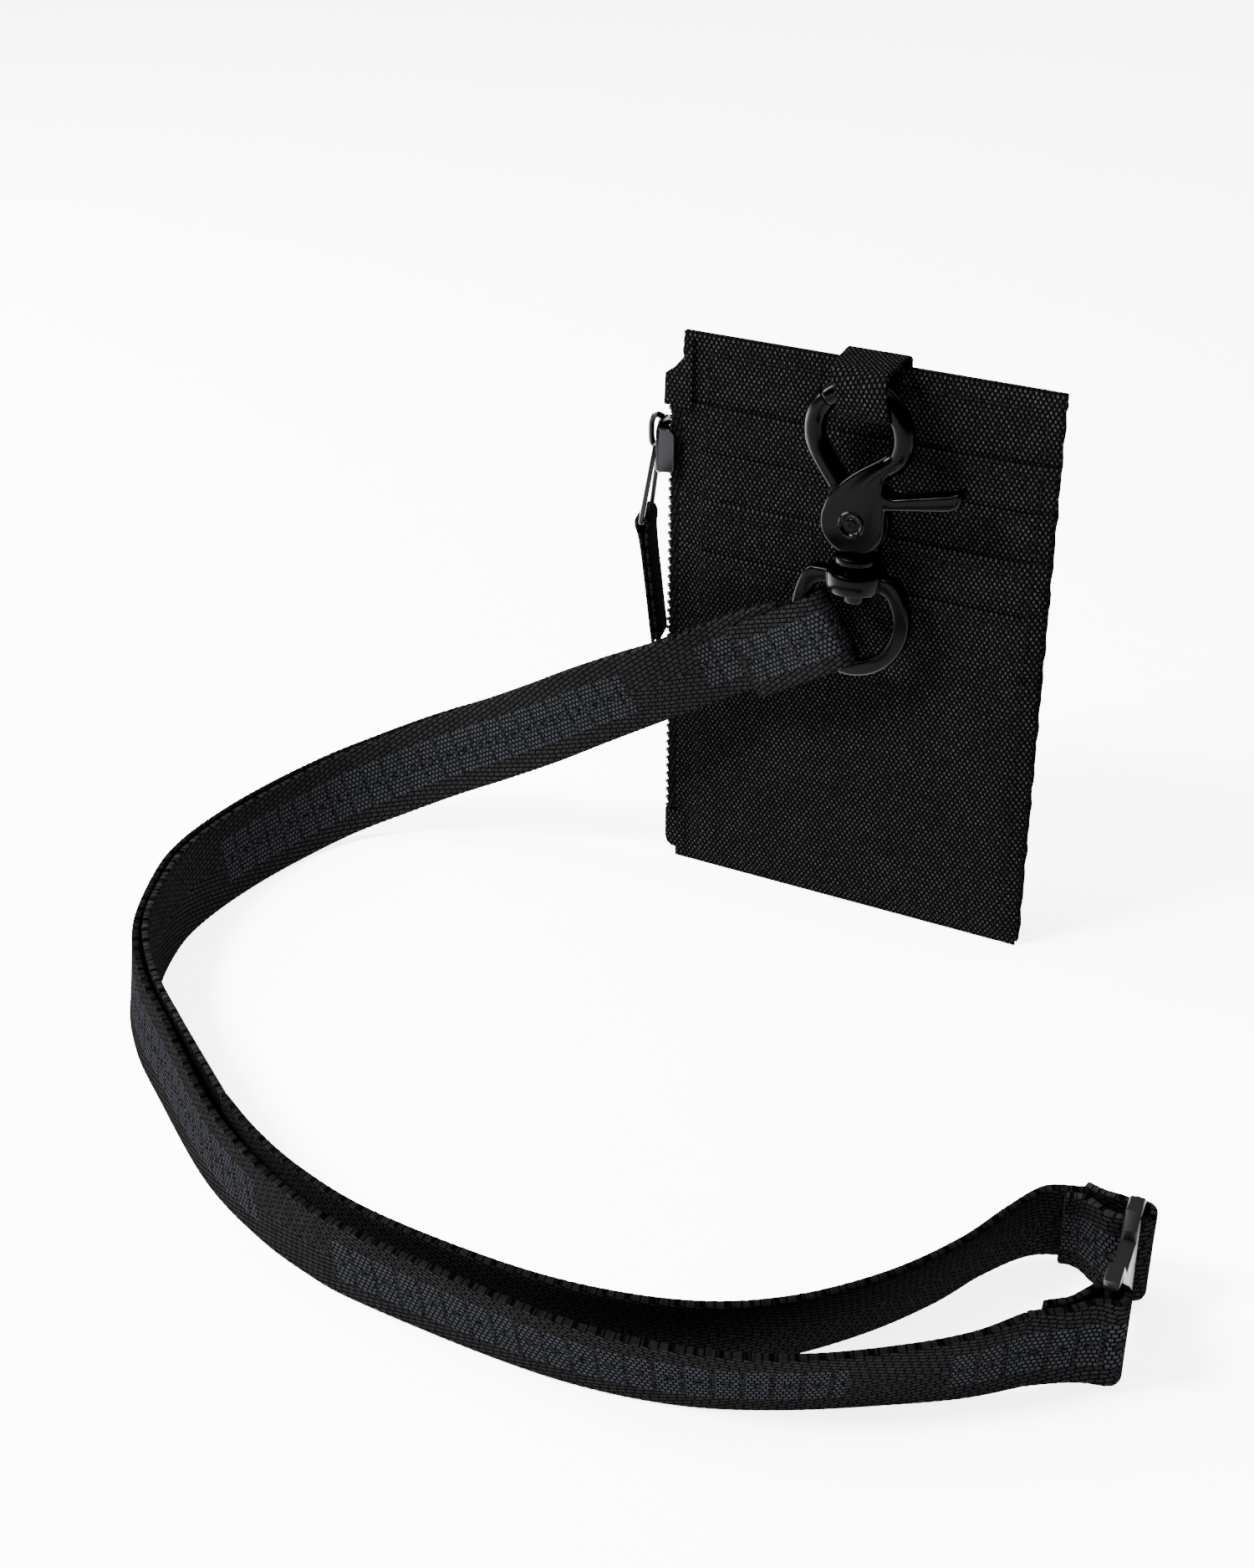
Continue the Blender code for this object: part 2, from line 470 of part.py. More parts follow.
ROUTE_OUTER = (
    (-13.1, -9.75, 68.7, 0, 17.3), (-22.7, -9.6, 62.3, 0, 18.8), (-30.0, -9.9, 57.5, -2, 20.1),
    (-38.0, -11.8, 53.2, -5, 20.9), (-47.4, -14.4, 47.8, -5, 21.5),
    (-61.2, -16.6, 39.4, 0, 22), (-75.5, -18.1, 30.6, 6, 22),
    (-90.6, -19.4, 22.0, 12, 22), (-106.6, -21.2, 14.0, 16, 22), (-121.4, -26.0, 6.6, 18, 22),
    (-133.3, -35.9, 1.9, 18, 22), (-140.0, -50.5, 0.3, 16, 22), (-143.8, -69.0, 0.1, 13, 22),
    (-145.5, -88.0, 0.1, 8, 22), (-144.4, -104.6, 0.1, 0, 22), (-136.0, -127.5, 0.1, -6, 22),
    (-121.5, -144.6, 0.1, -7, 22), (-103.5, -158.6, 0.1, -7, 22), (-77.0, -177.2, 0.1, -3, 22),
    (-56.0, -187.2, 0.1, 2, 22), (-39.0, -192.4, 0.1, 6, 22), (-25.0, -194.6, 0.1, 9, 22),
    (6.0, -195.8, 0.1, 13, 22), (28.0, -194.6, 0.1, 17, 22), (48.0, -190.0, 0.1, 20, 22),
    (65.6, -181.8, 0.1, 22, 22), (82.5, -171.2, 0.1, 20, 22), (95.0, -163.0, 0.6, 13, 22),
    (104.5, -155.4, 1.6, 5, 22))


def strapStrip(name, route, trimStart, trimEnd):
    """A strap strand from its lower edge, leant outward, with short cuts at its ends."""
    rows, length = smoothPath(route, 4.2)
    tans = tangents(rows)
    centres, sides, widths = [], [], []
    for row, tan in zip(rows, tans):
        up = Vector((0.0, 0.0, 1.0))
        flat = (up - up.dot(tan) * tan).normalized()
        inward = up.cross(tan).normalized()
        lean = math.radians(row[3])
        side = (math.cos(lean) * flat - math.sin(lean) * inward).normalized()
        low = math.sin(abs(lean)) * STRAP_T / 2
        centres.append(list(Vector((row[0], row[1], row[2] + low)) + side * row[4] / 2))
        sides.append(side)
        widths.append(row[4])
    if trimStart:
        a, b = Vector(centres[0]), Vector(centres[1])
        centres[0] = list(a + (b - a).normalized() * trimStart)
    if trimEnd:
        a, b = Vector(centres[-1]), Vector(centres[-2])
        centres[-1] = list(a + (b - a).normalized() * trimEnd)
    addObject(name, ribbonMesh(centres, sides, widths, STRAP_T), "web")
    return centres


strapStrip("strap_inner_rear", ROUTE_INNER, 0.0, 0.15)
strapStrip("strap_inner_front", ROUTE_INNER_FRONT, 0.15, 0.3)
strapStrip("strap_outer", ROUTE_OUTER, 0.3, 0.3)


def claspPoint(u, v, base):
    return base + CLASP_U * u + CLASP_N * v


def claspPrism(outline, v):
    """An outline in (u, height) about the rear bar, pushed through the clasp's thickness."""
    bm = bmesh.new()
    near = [bm.verts.new(claspPoint(u, v[0], REAR_BAR) + Vector((0.0, 0.0, h))) for u, h in outline]
    far = [bm.verts.new(claspPoint(u, v[1], REAR_BAR) + Vector((0.0, 0.0, h))) for u, h in outline]
    bm.faces.new(near)
    bm.faces.new(list(reversed(far)))
    n = len(outline)
    for i in range(n):
        j = (i + 1) % n
        bm.faces.new((near[i], far[i], far[j], near[j]))
    bm.normal_update()
    bmesh.ops.triangulate(bm, faces=[f for f in bm.faces if len(f.verts) > 4])
    return bm


halfT = CLASP_T / 2
barR = BAR_DIA / 2
slotEnd = barR + SLOT_W
male = [(-barR, -LOOP_HALF + 1.5), (-barR + 1.2, -LOOP_HALF), (slotEnd, -LOOP_HALF), (slotEnd + 2.5, -9.6),
        (slotEnd + 2.5, 9.6), (slotEnd, LOOP_HALF), (-barR + 1.2, LOOP_HALF), (-barR, LOOP_HALF - 1.5)]
maleOb = addObject("clasp_male", claspPrism(male, (-halfT, halfT)), "plastic")
boolean(maleOb, claspPrism([(barR, -SLOT_HALF), (slotEnd, -SLOT_HALF), (slotEnd, SLOT_HALF), (barR, SLOT_HALF)],
                           (-3.0, 3.0)), "DIFFERENCE", "male_slot")
boolean(maleOb, claspPrism([(slotEnd + 1.0, -5.7), (slotEnd + 11.0, -5.7), (slotEnd + 12.5, -4.4),
                            (slotEnd + 12.5, 4.4), (slotEnd + 11.0, 5.7), (slotEnd + 1.0, 5.7)], (-0.6, 0.6)),
        "UNION", "male_tongue")
boolean(maleOb, claspPrism([(-barR - 1, -SLOT_HALF), (barR + 1, -SLOT_HALF), (barR + 1, SLOT_HALF),
                            (-barR - 1, SLOT_HALF)], (barR, 3.0)), "DIFFERENCE", "male_bar_out")
boolean(maleOb, claspPrism([(-barR - 1, -SLOT_HALF), (barR + 1, -SLOT_HALF), (barR + 1, SLOT_HALF),
                            (-barR - 1, SLOT_HALF)], (-3.0, -barR)), "DIFFERENCE", "male_bar_in")
f = BAR_GAP
sleeveStart = slotEnd + 2.5 + 0.3
sleeveEnd = f - slotEnd
female = [(sleeveStart, -BODY_HALF), (sleeveEnd - 5.0, -BODY_HALF), (sleeveEnd - 0.6, -LOOP_HALF),
          (f + barR - 1.2, -LOOP_HALF), (f + barR, -LOOP_HALF + 1.5), (f + barR, LOOP_HALF - 1.5),
          (f + barR - 1.2, LOOP_HALF), (sleeveEnd - 0.6, LOOP_HALF), (sleeveEnd - 5.0, BODY_HALF),
          (sleeveStart, BODY_HALF)]
femaleOb = addObject("clasp_female", claspPrism(female, (-halfT, halfT)), "plastic")
boolean(femaleOb, claspPrism([(sleeveEnd, -SLOT_HALF), (f - barR, -SLOT_HALF), (f - barR, SLOT_HALF),
                              (sleeveEnd, SLOT_HALF)], (-3.0, 3.0)), "DIFFERENCE", "female_slot")
boolean(femaleOb, claspPrism([(f - barR - 1, -SLOT_HALF), (f + barR + 1, -SLOT_HALF),
                              (f + barR + 1, SLOT_HALF), (f - barR - 1, SLOT_HALF)], (barR, 3.0)),
        "DIFFERENCE", "female_bar_out")
boolean(femaleOb, claspPrism([(f - barR - 1, -SLOT_HALF), (f + barR + 1, -SLOT_HALF),
                              (f + barR + 1, SLOT_HALF), (f - barR - 1, SLOT_HALF)], (-3.0, -barR)),
        "DIFFERENCE", "female_bar_in")
boolean(femaleOb, claspPrism([(sleeveStart - 1.0, -6.0), (sleeveEnd - 2.6, -6.0), (sleeveEnd - 2.6, 6.0),
                              (sleeveStart - 1.0, 6.0)], (-0.9, 0.9)), "DIFFERENCE", "female_cavity")

# strap ends at the clasp: each goes round its bar and back on itself
frontBar = REAR_BAR + CLASP_U * BAR_GAP


def endFold(name, base, turns):
    path = [tuple(claspPoint(u, v, base)) for v, u in turns]
    smooth, _ = smoothPath(path, 1.1)
    addObject(name, ribbonMesh(smooth, Vector((0.0, 0.0, 1.0)), STRAP_W, STRAP_T), "web")


endFold("rear_end_fold", REAR_BAR, ((-9.7, -7.5), (-8.0, -6.7), (-5.0, -4.9), (-2.4, -3.4), (0.0, -2.9),
        (1.8, -2.5), (2.8, -1.6), (3.1, 0.0), (2.8, 1.5), (1.8, 2.4), (0.2, 2.75), (-2.4, 2.6), (-5.0, 1.2),
        (-8.0, -1.4), (-10.6, -3.4), (-13.0, -4.2), (-15.8, -3.8)))
endFold("front_end_fold", frontBar, ((-13.2, 8.1), (-9.5, 6.0), (-6.0, 4.3), (-2.4, 3.2), (0.0, 2.9),
        (1.8, 2.5), (2.8, 1.6), (3.1, 0.0), (2.8, -1.5), (1.8, -2.4), (0.2, -2.75), (-2.4, -2.6), (-5.0, -0.7),
        (-8.0, 2.0), (-10.6, 3.7), (-13.0, 5.2)))
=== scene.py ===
import math

import bmesh
import bpy
from mathutils import Matrix, Vector


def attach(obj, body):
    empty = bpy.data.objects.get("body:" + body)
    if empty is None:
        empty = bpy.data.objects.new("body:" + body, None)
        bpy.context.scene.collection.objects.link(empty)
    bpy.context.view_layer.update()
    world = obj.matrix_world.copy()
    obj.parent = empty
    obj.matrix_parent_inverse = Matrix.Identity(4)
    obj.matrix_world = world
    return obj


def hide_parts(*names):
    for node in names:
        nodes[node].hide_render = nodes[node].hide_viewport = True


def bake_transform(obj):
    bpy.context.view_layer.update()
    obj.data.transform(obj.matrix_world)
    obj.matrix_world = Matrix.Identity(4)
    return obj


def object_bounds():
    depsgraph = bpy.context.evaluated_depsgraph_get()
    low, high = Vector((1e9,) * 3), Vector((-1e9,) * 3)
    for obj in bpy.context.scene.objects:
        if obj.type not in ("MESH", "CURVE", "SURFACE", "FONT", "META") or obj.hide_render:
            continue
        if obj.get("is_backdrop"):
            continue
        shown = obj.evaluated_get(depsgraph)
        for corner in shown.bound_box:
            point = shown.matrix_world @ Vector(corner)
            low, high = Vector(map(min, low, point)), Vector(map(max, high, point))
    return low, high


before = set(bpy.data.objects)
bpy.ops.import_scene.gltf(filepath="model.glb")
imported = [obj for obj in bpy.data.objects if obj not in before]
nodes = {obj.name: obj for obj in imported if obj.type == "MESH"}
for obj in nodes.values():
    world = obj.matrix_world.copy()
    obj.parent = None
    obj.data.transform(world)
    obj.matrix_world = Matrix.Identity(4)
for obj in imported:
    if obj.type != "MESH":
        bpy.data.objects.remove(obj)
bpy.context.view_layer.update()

scene = bpy.context.scene
mm = 0.001  # every length below is in millimetres and is scaled as its mesh is made
print("frame loaded:", len(nodes), "nodes")


# small tools

def linear(hexColour):
    parts = [int(hexColour[i:i + 2], 16) / 255 for i in (1, 3, 5)]
    return tuple(c / 12.92 if c <= 0.04045 else ((c + 0.055) / 1.055) ** 2.4 for c in parts) + (1.0,)


def addNode(tree, kind, inputs=(), **settings):
    # one node with its settings; inputs are values, sockets or nodes, in order or by name
    node = tree.nodes.new("ShaderNode" + kind)
    for key, value in settings.items():
        setattr(node, key, value)
    pairs = inputs.items() if isinstance(inputs, dict) else enumerate(inputs)
    for key, value in pairs:
        if value is None:
            continue
        if isinstance(value, bpy.types.Node):
            value = value.outputs[0]
        if isinstance(value, bpy.types.NodeSocket):
            tree.links.new(value, node.inputs[key])
        else:
            node.inputs[key].default_value = value
    return node


def newMaterial(name, **sockets):
    mat = bpy.data.materials.new(name)
    mat.use_nodes = True
    shader = mat.node_tree.nodes["Principled BSDF"]
    for key, value in sockets.items():
        shader.inputs[key.replace("_", " ")].default_value = value
    return mat, mat.node_tree, shader


def blendSteps(a, b, x):
    t = min(1.0, max(0.0, (x - a) / (b - a)))
    return t * t * (3 - 2 * t)


def smoothRoute(points, step):
    # a smooth curve through given points, then even steps along it; numbers after x, y, z ride along
    pts = [list(map(float, p)) for p in points]
    size = len(pts[0])
    before = [2 * pts[0][k] - pts[1][k] for k in range(size)]
    after = [2 * pts[-1][k] - pts[-2][k] for k in range(size)]
    held = [before] + pts + [after]
    dense = []
    for i in range(1, len(held) - 2):
        for s in range(24):
            t = s / 24
            weights = (-t + 2 * t * t - t ** 3, 2 - 5 * t * t + 3 * t ** 3, t + 4 * t * t - 3 * t ** 3,
                       t ** 3 - t * t)
            row = []
            for k in range(size):
                row.append(0.5 * sum(w * held[i - 1 + m][k] for m, w in enumerate(weights)))
            dense.append(row)
    dense.append(pts[-1])
    total = [0.0]
    for a, b in zip(dense, dense[1:]):
        total.append(total[-1] + math.dist(a[:3], b[:3]))
    count = max(3, int(round(total[-1] / step)) + 1)
    rows, j = [], 0
    for i in range(count):
        want = total[-1] * i / (count - 1)
        while j < len(total) - 2 and total[j + 1] < want:
            j += 1
        f = (want - total[j]) / max(1e-9, total[j + 1] - total[j])
        rows.append([dense[j][k] + f * (dense[j + 1][k] - dense[j][k]) for k in range(size)])
    return rows


def finishMesh(name, bm, mats, body, nodeNames=(), sharp=35):
    # millimetres to metres, smooth shading, materials, and the CAD body it rides on
    bmesh.ops.scale(bm, vec=(mm, mm, mm), verts=bm.verts)
    mesh = bpy.data.meshes.new(name)
    bm.to_mesh(mesh)
    bm.free()
    mesh.shade_smooth()
    if sharp:
        mesh.set_sharp_from_angle(angle=math.radians(sharp))
    ob = bpy.data.objects.new(name, mesh)
    scene.collection.objects.link(ob)
    for mat in mats:
        mesh.materials.append(mat)
    if body:
        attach(ob, body)
    if nodeNames:
        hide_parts(*nodeNames)
    return ob


def addModifier(ob, kind, **settings):
    mod = ob.modifiers.new(kind.title(), kind)
    for key, value in settings.items():
        setattr(mod, key, value)
    return mod


# camera first, then the cords

view = {"place": (206.3, -512.0, 337.9), "turn": 28.046, "above": 28.996, "lens": 55.95}
cameraData = bpy.data.cameras.new("camera")
cameraData.lens = view["lens"]
cameraData.sensor_width = 36
camera = bpy.data.objects.new("camera", cameraData)
camera.location = [c * mm for c in view["place"]]
camera.rotation_euler = (math.radians(90 - view["above"]), 0, math.radians(view["turn"]))
scene.collection.objects.link(camera)
scene.camera = camera

# materials

def wovenOxford(name="wovenPolyesterOxford", recessShade="#020202", face="#030303", floatHighlight="#28282b",
                thread=(1.3, 1.0)):
    # polyester oxford: matt black plain weave; each raised weft float gets a painted highlight in its colour,
    # and the troughs between ribs get a faint painted shade
    mat, tree, shader = newMaterial(name, Roughness=0.95, IOR=1.45, Sheen_Weight=0.0)
    shader.inputs["Specular IOR Level"].default_value = 0.0
    uv = addNode(tree, "UVMap", uv_map="weave")
    squeezed = addNode(tree, "Mapping", {"Vector": uv, "Scale": (0.42, 1.0, 1.0)})
    wobble = addNode(tree, "TexNoise", {"Vector": uv, "Scale": 0.55, "Detail": 2.0})
    bent = addNode(tree, "VectorMath", {0: wobble.outputs["Color"], 1: (0.22, 0.22, 0.0), 2: squeezed},
                   operation="MULTIPLY_ADD")
    floats = addNode(tree, "TexBrick", {
        "Vector": bent, "Scale": 1.0, "Mortar Size": 0.25, "Mortar Smooth": 0.45,
        "Brick Width": thread[0] * 0.42, "Row Height": thread[1],
        "Color1": (0.35, 0.35, 0.35, 1), "Color2": (1, 1, 1, 1), "Mortar": (0, 0, 0, 1)}, offset=0.5)
    ribs = addNode(tree, "TexWave", {"Vector": uv, "Scale": 0.32, "Distortion": 0.6, "Detail": 1.0},
                   wave_type="BANDS", bands_direction="X")
    patches = addNode(tree, "TexNoise", {"Vector": uv, "Scale": 0.09, "Detail": 4.0})
    # painted shade: the darker colour lies in the troughs between ribs
    base = addNode(tree, "MixRGB", {"Fac": ribs.outputs["Fac"], "Color1": linear(recessShade),
                                    "Color2": linear(face)})
    shade = addNode(tree, "Math", [patches.outputs["Fac"], 0.5, 0.45], operation="MULTIPLY_ADD")
    # painted highlight: a lighter colour laid on each raised float, varied by the random mottle
    lit = addNode(tree, "MixRGB", {"Fac": addNode(tree, "Math", [floats.outputs["Color"], shade],
                  operation="MULTIPLY"), "Color1": base.outputs["Color"], "Color2": linear(floatHighlight)})
    tree.links.new(lit.outputs["Color"], shader.inputs["Base Color"])
    height = addNode(tree, "Math", [floats.outputs["Color"], 0.8, ribs.outputs["Fac"]],
                     operation="MULTIPLY_ADD")
    bump = addNode(tree, "Bump", {"Height": height, "Strength": 0.55, "Distance": 0.00022})
    tree.links.new(bump.outputs["Normal"], shader.inputs["Normal"])
    return mat


def webbing(name, recessShade, face, dotColour, motif):
    # polyester webbing: matt twill rows of twisted yarn, raised dots of bluer yarn where the pattern floats;
    # painted shade darkens the gaps between floats and between dots
    mat, tree, shader = newMaterial(name, Roughness=0.9, IOR=1.45, Sheen_Weight=0.0)
    shader.inputs["Specular IOR Level"].default_value = 0.0
    uv = addNode(tree, "UVMap", uv_map="weave")
    parts = addNode(tree, "SeparateXYZ", [uv])
    across, along = parts.outputs["X"], parts.outputs["Y"]
    # twill: rows 1.2 mm apart run along the strap, each float 2.1 mm long and stepped from its neighbour
    fromMiddle = addNode(tree, "Math", [across], operation="ABSOLUTE")
    row = addNode(tree, "Math", [along, 0.26, fromMiddle], operation="MULTIPLY_ADD")
    step = addNode(tree, "Math", [fromMiddle, -0.55, along], operation="MULTIPLY_ADD")
    twillAt = addNode(tree, "CombineXYZ", [step, row])
    twill = addNode(tree, "TexBrick", {
        "Vector": twillAt, "Scale": 1.0, "Mortar Size": 0.22, "Mortar Smooth": 0.8,
        "Brick Width": 2.1, "Row Height": 1.2,
        "Color1": (0.7, 0.7, 0.7, 1), "Color2": (1, 1, 1, 1), "Mortar": (0, 0, 0, 1)}, offset=0.35)
    twillHeight = twill.outputs["Color"]
    fuzz = addNode(tree, "TexNoise", {"Vector": uv, "Scale": 1.6, "Detail": 3.0})
    tone = addNode(tree, "Math", [twillHeight, fuzz.outputs["Fac"]], operation="MULTIPLY")
    # painted shade: the darker colour fills the gaps between twill floats, mixed with a random fuzz
    colour = addNode(tree, "MixRGB", {"Fac": tone, "Color1": linear(recessShade), "Color2": linear(face)})
    height = twillHeight
    colourOut = colour.outputs["Color"]
    if motif:
        dotsAt = addNode(tree, "CombineXYZ", [along, across])
        dots = addNode(tree, "TexBrick", {
            "Vector": dotsAt, "Scale": 1.0, "Mortar Size": 0.24, "Mortar Smooth": 0.8,
            "Brick Width": 1.15, "Row Height": 1.15,
            "Color1": (0.75, 0.75, 0.75, 1), "Color2": (1, 1, 1, 1), "Mortar": (0, 0, 0, 1)}, offset=0.5)
        # plain bars 4.6 mm wide with a 1.1 mm gap, each with a small diamond left flat in its middle
        cell = addNode(tree, "Math", [along, 5.7], operation="FLOORED_MODULO")
        bar = addNode(tree, "Math", [cell, 4.6], operation="LESS_THAN")
        centred = addNode(tree, "Math", [cell, 2.3], operation="SUBTRACT")
        reach = addNode(tree, "Math", [addNode(tree, "Math", [centred], operation="ABSOLUTE"),
                        addNode(tree, "Math", [across], operation="ABSOLUTE")], operation="ADD")
        diamond = addNode(tree, "Math", [reach, 1.5], operation="GREATER_THAN")
        band = addNode(tree, "Math", [addNode(tree, "Math", [across], operation="ABSOLUTE"), 5.6],
                       operation="LESS_THAN")
        flag = addNode(tree, "Attribute", attribute_name="motif")
        flagOn = addNode(tree, "Math", [flag.outputs["Fac"], 0.5], operation="GREATER_THAN")
        inside = addNode(tree, "Math", [bar, diamond], operation="MULTIPLY")
        inside = addNode(tree, "Math", [inside, band], operation="MULTIPLY")
        inside = addNode(tree, "Math", [inside, flagOn], operation="MULTIPLY")
        # painted shade: the darker colour fills the gaps between the raised dots
        dotTone = addNode(tree, "MixRGB", {"Fac": dots.outputs["Color"], "Color1": linear(recessShade),
                          "Color2": linear(dotColour)})
        mixed = addNode(tree, "MixRGB", {"Fac": inside, "Color1": colourOut,
                                         "Color2": dotTone.outputs["Color"]})
        colourOut = mixed.outputs["Color"]
        raised = addNode(tree, "Math", [dots.outputs["Color"], 1.3, 0.5], operation="MULTIPLY_ADD")
        height = addNode(tree, "Mix", {0: inside, 2: twillHeight, 3: raised.outputs[0]})
    tree.links.new(colourOut, shader.inputs["Base Color"])
    bump = addNode(tree, "Bump", {"Height": height, "Strength": 0.9, "Distance": 0.00040})
    tree.links.new(bump.outputs["Normal"], shader.inputs["Normal"])
    return mat


def coatedMetal(name, colour, roughness, grain=900.0, strength=0.04, metallic=1.0):
    # plated zinc, and drawn wire for the spring: an even satin sheen with a trace of orange peel
    mat, tree, shader = newMaterial(name, Metallic=metallic, Roughness=roughness)
    where = addNode(tree, "TexCoord")
    fine = addNode(tree, "TexNoise", {"Vector": where.outputs["Object"], "Scale": grain, "Detail": 3.0})
    broad = addNode(tree, "TexNoise", {"Vector": where.outputs["Object"], "Scale": grain * 0.12,
                                       "Detail": 3.0})
    worn = addNode(tree, "MapRange", {"Value": broad.outputs["Fac"], "From Min": 0.3, "From Max": 0.7,
                   "To Min": roughness * 0.82, "To Max": roughness * 1.2})
    tree.links.new(worn.outputs[0], shader.inputs["Roughness"])
    dark = tuple(c * 0.75 for c in linear(colour)[:3]) + (1.0,)
    tint = addNode(tree, "MixRGB", {"Fac": broad.outputs["Fac"], "Color1": dark, "Color2": linear(colour)})
    tree.links.new(tint.outputs["Color"], shader.inputs["Base Color"])
    bump = addNode(tree, "Bump", {"Height": fine.outputs["Fac"], "Strength": strength, "Distance": 0.0001})
    tree.links.new(bump.outputs["Normal"], shader.inputs["Normal"])
    return mat


def mouldedPlastic(name, colour, roughness, shine=0.14, grain=2600.0, depth=0.08):
    # moulded acetal, and the zip's polyester coil: a finely grained skin that breaks up the highlight
    mat, tree, shader = newMaterial(name, Roughness=roughness, IOR=1.48)
    shader.inputs["Specular IOR Level"].default_value = shine
    where = addNode(tree, "TexCoord")
    pits = addNode(tree, "TexNoise", {"Vector": where.outputs["Object"], "Scale": grain, "Detail": 4.0})
    flow = addNode(tree, "TexNoise", {"Vector": where.outputs["Object"], "Scale": 140.0, "Detail": 2.0})
    dark = tuple(c * 0.7 for c in linear(colour)[:3]) + (1.0,)
    tint = addNode(tree, "MixRGB", {"Fac": flow.outputs["Fac"], "Color1": dark, "Color2": linear(colour)})
    tree.links.new(tint.outputs["Color"], shader.inputs["Base Color"])
    bump = addNode(tree, "Bump", {"Height": pits.outputs["Fac"], "Strength": depth, "Distance": 0.0001})
    tree.links.new(bump.outputs["Normal"], shader.inputs["Normal"])
    return mat


def sewingThread(name, colour):
    # bonded polyester thread: two plies show as slanting bands about 1 mm apart
    mat, tree, shader = newMaterial(name, Roughness=0.8)
    shader.inputs["Specular IOR Level"].default_value = 0.0
    where = addNode(tree, "TexCoord")
    plies = addNode(tree, "TexWave", {"Vector": where.outputs["Object"], "Scale": 620.0, "Distortion": 1.0},
                    bands_direction="DIAGONAL")
    dark = tuple(c * 0.45 for c in linear(colour)[:3]) + (1.0,)
    tint = addNode(tree, "MixRGB", {"Fac": plies.outputs["Fac"], "Color1": dark, "Color2": linear(colour)})
    tree.links.new(tint.outputs["Color"], shader.inputs["Base Color"])
    return mat


oxford = wovenOxford()
# the first colour of each webbing is the painted shade in the gaps of its weave
webFace = webbing("jacquardWebbingFace", "#010101", "#1a1a1a", "#1b1c1f", True)
webBack = webbing("jacquardWebbingBack", "#010101", "#0f0f0f", "#0f0f0f", False)
zipTape = webbing("herringboneZipTape", "#010101", "#131313", "#131313", False)
satinHook = coatedMetal("blackPlatedZinc", "#060606", 0.19)
gunmetal = coatedMetal("gunmetalPlatedZinc", "#151516", 0.2, strength=0.02)
springWire = coatedMetal("drawnSpringSteel", "#444446", 0.3)
coilTeeth = mouldedPlastic("polyesterZipCoil", "#0a0a0a", 0.2, shine=0.6)
claspPlastic = mouldedPlastic("mattAcetal", "#050505", 0.42)
thread = sewingThread("bondedPolyesterThread", "#0c0c0d")
print("materials made")

# strap: two strands of one webbing and three turned ends

strap = {"thick": 1.8, "step": 1.0, "across": 10, "bumpPitch": 1.9, "bump": 0.16, "bow": 0.12, "width": 22.0,
         "frontStart": 312.0}

# x, y and height of the lower edge, outward lean in degrees, and width
routeInner = (
    (-9.0, -12.0, 70.3, 0, 18.6), (-14.6, -12.0, 66.7, 0, 19.2), (-22.7, -12.0, 61.6, 0, 20.0),
    (-30.0, -12.5, 57.7, -2, 20.1), (-38.0, -14.6, 53.4, -5, 20.9), (-47.4, -17.0, 48.0, -5, 21.5),
    (-61.2, -19.0, 39.9, 0, 22), (-75.5, -20.5, 31.0, 6, 22), (-90.6, -21.8, 22.3, 12, 22),
    (-105.7, -23.6, 14.2, 16, 22), (-119.7, -28.0, 6.9, 18, 22), (-131.0, -37.0, 2.2, 18, 22),
    (-137.5, -51.0, 0.3, 16, 22), (-141.3, -69.0, 0.1, 13, 22), (-142.8, -88.0, 0.1, 9, 22),
    (-141.0, -104.0, 0.1, 3, 22), (-132.5, -124.0, 0.1, 1, 22), (-118.0, -140.5, 0.1, 0, 22),
    (-100.5, -154.0, 0.1, 0, 22), (-74.0, -172.5, 0.1, 1, 22))
routeInnerFront = (
    (-74.0, -172.5, 0.1, 1, 22), (-60.0, -179.8, 0.1, 2, 22), (-44.0, -185.5, 0.1, 4, 22),
    (-24.0, -189.0, 0.1, 7, 22), (4.0, -188.8, 0.1, 11, 22), (25.0, -185.8, 0.1, 14, 22),
    (44.0, -179.0, 0.1, 17, 22), (58.0, -169.0, 0.1, 19, 22), (70.0, -154.8, 0.1, 20, 22),
    (79.0, -140.0, 0.2, 19, 22), (85.0, -126.5, 0.4, 17, 22), (92.5, -116.5, 1.2, 14, 22),
    (103.0, -112.6, 1.8, 13, 22))
routeOuter = (
    (-13.1, -9.75, 67.7, 0, 19.0), (-22.7, -9.6, 61.6, 0, 20.0), (-30.0, -9.9, 57.5, -2, 20.1),
    (-38.0, -11.8, 53.2, -5, 20.9), (-47.4, -14.4, 47.8, -5, 21.5), (-61.2, -16.6, 39.4, 0, 22),
    (-75.5, -18.1, 30.6, 6, 22), (-90.6, -19.4, 22.0, 12, 22), (-106.6, -21.2, 14.0, 16, 22),
    (-121.4, -26.0, 6.6, 18, 22), (-133.3, -35.9, 1.9, 18, 22), (-140.0, -50.5, 0.3, 16, 22),
    (-143.8, -69.0, 0.1, 13, 22), (-145.5, -88.0, 0.1, 8, 22), (-144.4, -104.6, 0.1, 0, 22),
    (-136.0, -127.5, 0.1, -6, 22), (-121.5, -144.6, 0.1, -7, 22), (-103.5, -158.6, 0.1, -7, 22),
    (-77.0, -177.2, 0.1, -3, 22), (-56.0, -187.2, 0.1, 2, 22), (-39.0, -192.4, 0.1, 6, 22),
    (-25.0, -194.6, 0.1, 9, 22), (6.0, -195.8, 0.1, 13, 22), (28.0, -194.6, 0.1, 17, 22),
    (48.0, -190.0, 0.1, 20, 22), (65.6, -181.8, 0.1, 22, 22), (82.5, -171.2, 0.1, 20, 22),
    (95.0, -163.0, 0.6, 16, 22), (104.5, -155.4, 1.6, 10, 22))


def tangentsOf(places):
    out = []
    for i in range(len(places)):
        out.append((places[min(i + 1, len(places) - 1)] - places[max(i - 1, 0)]).normalized())
    return out


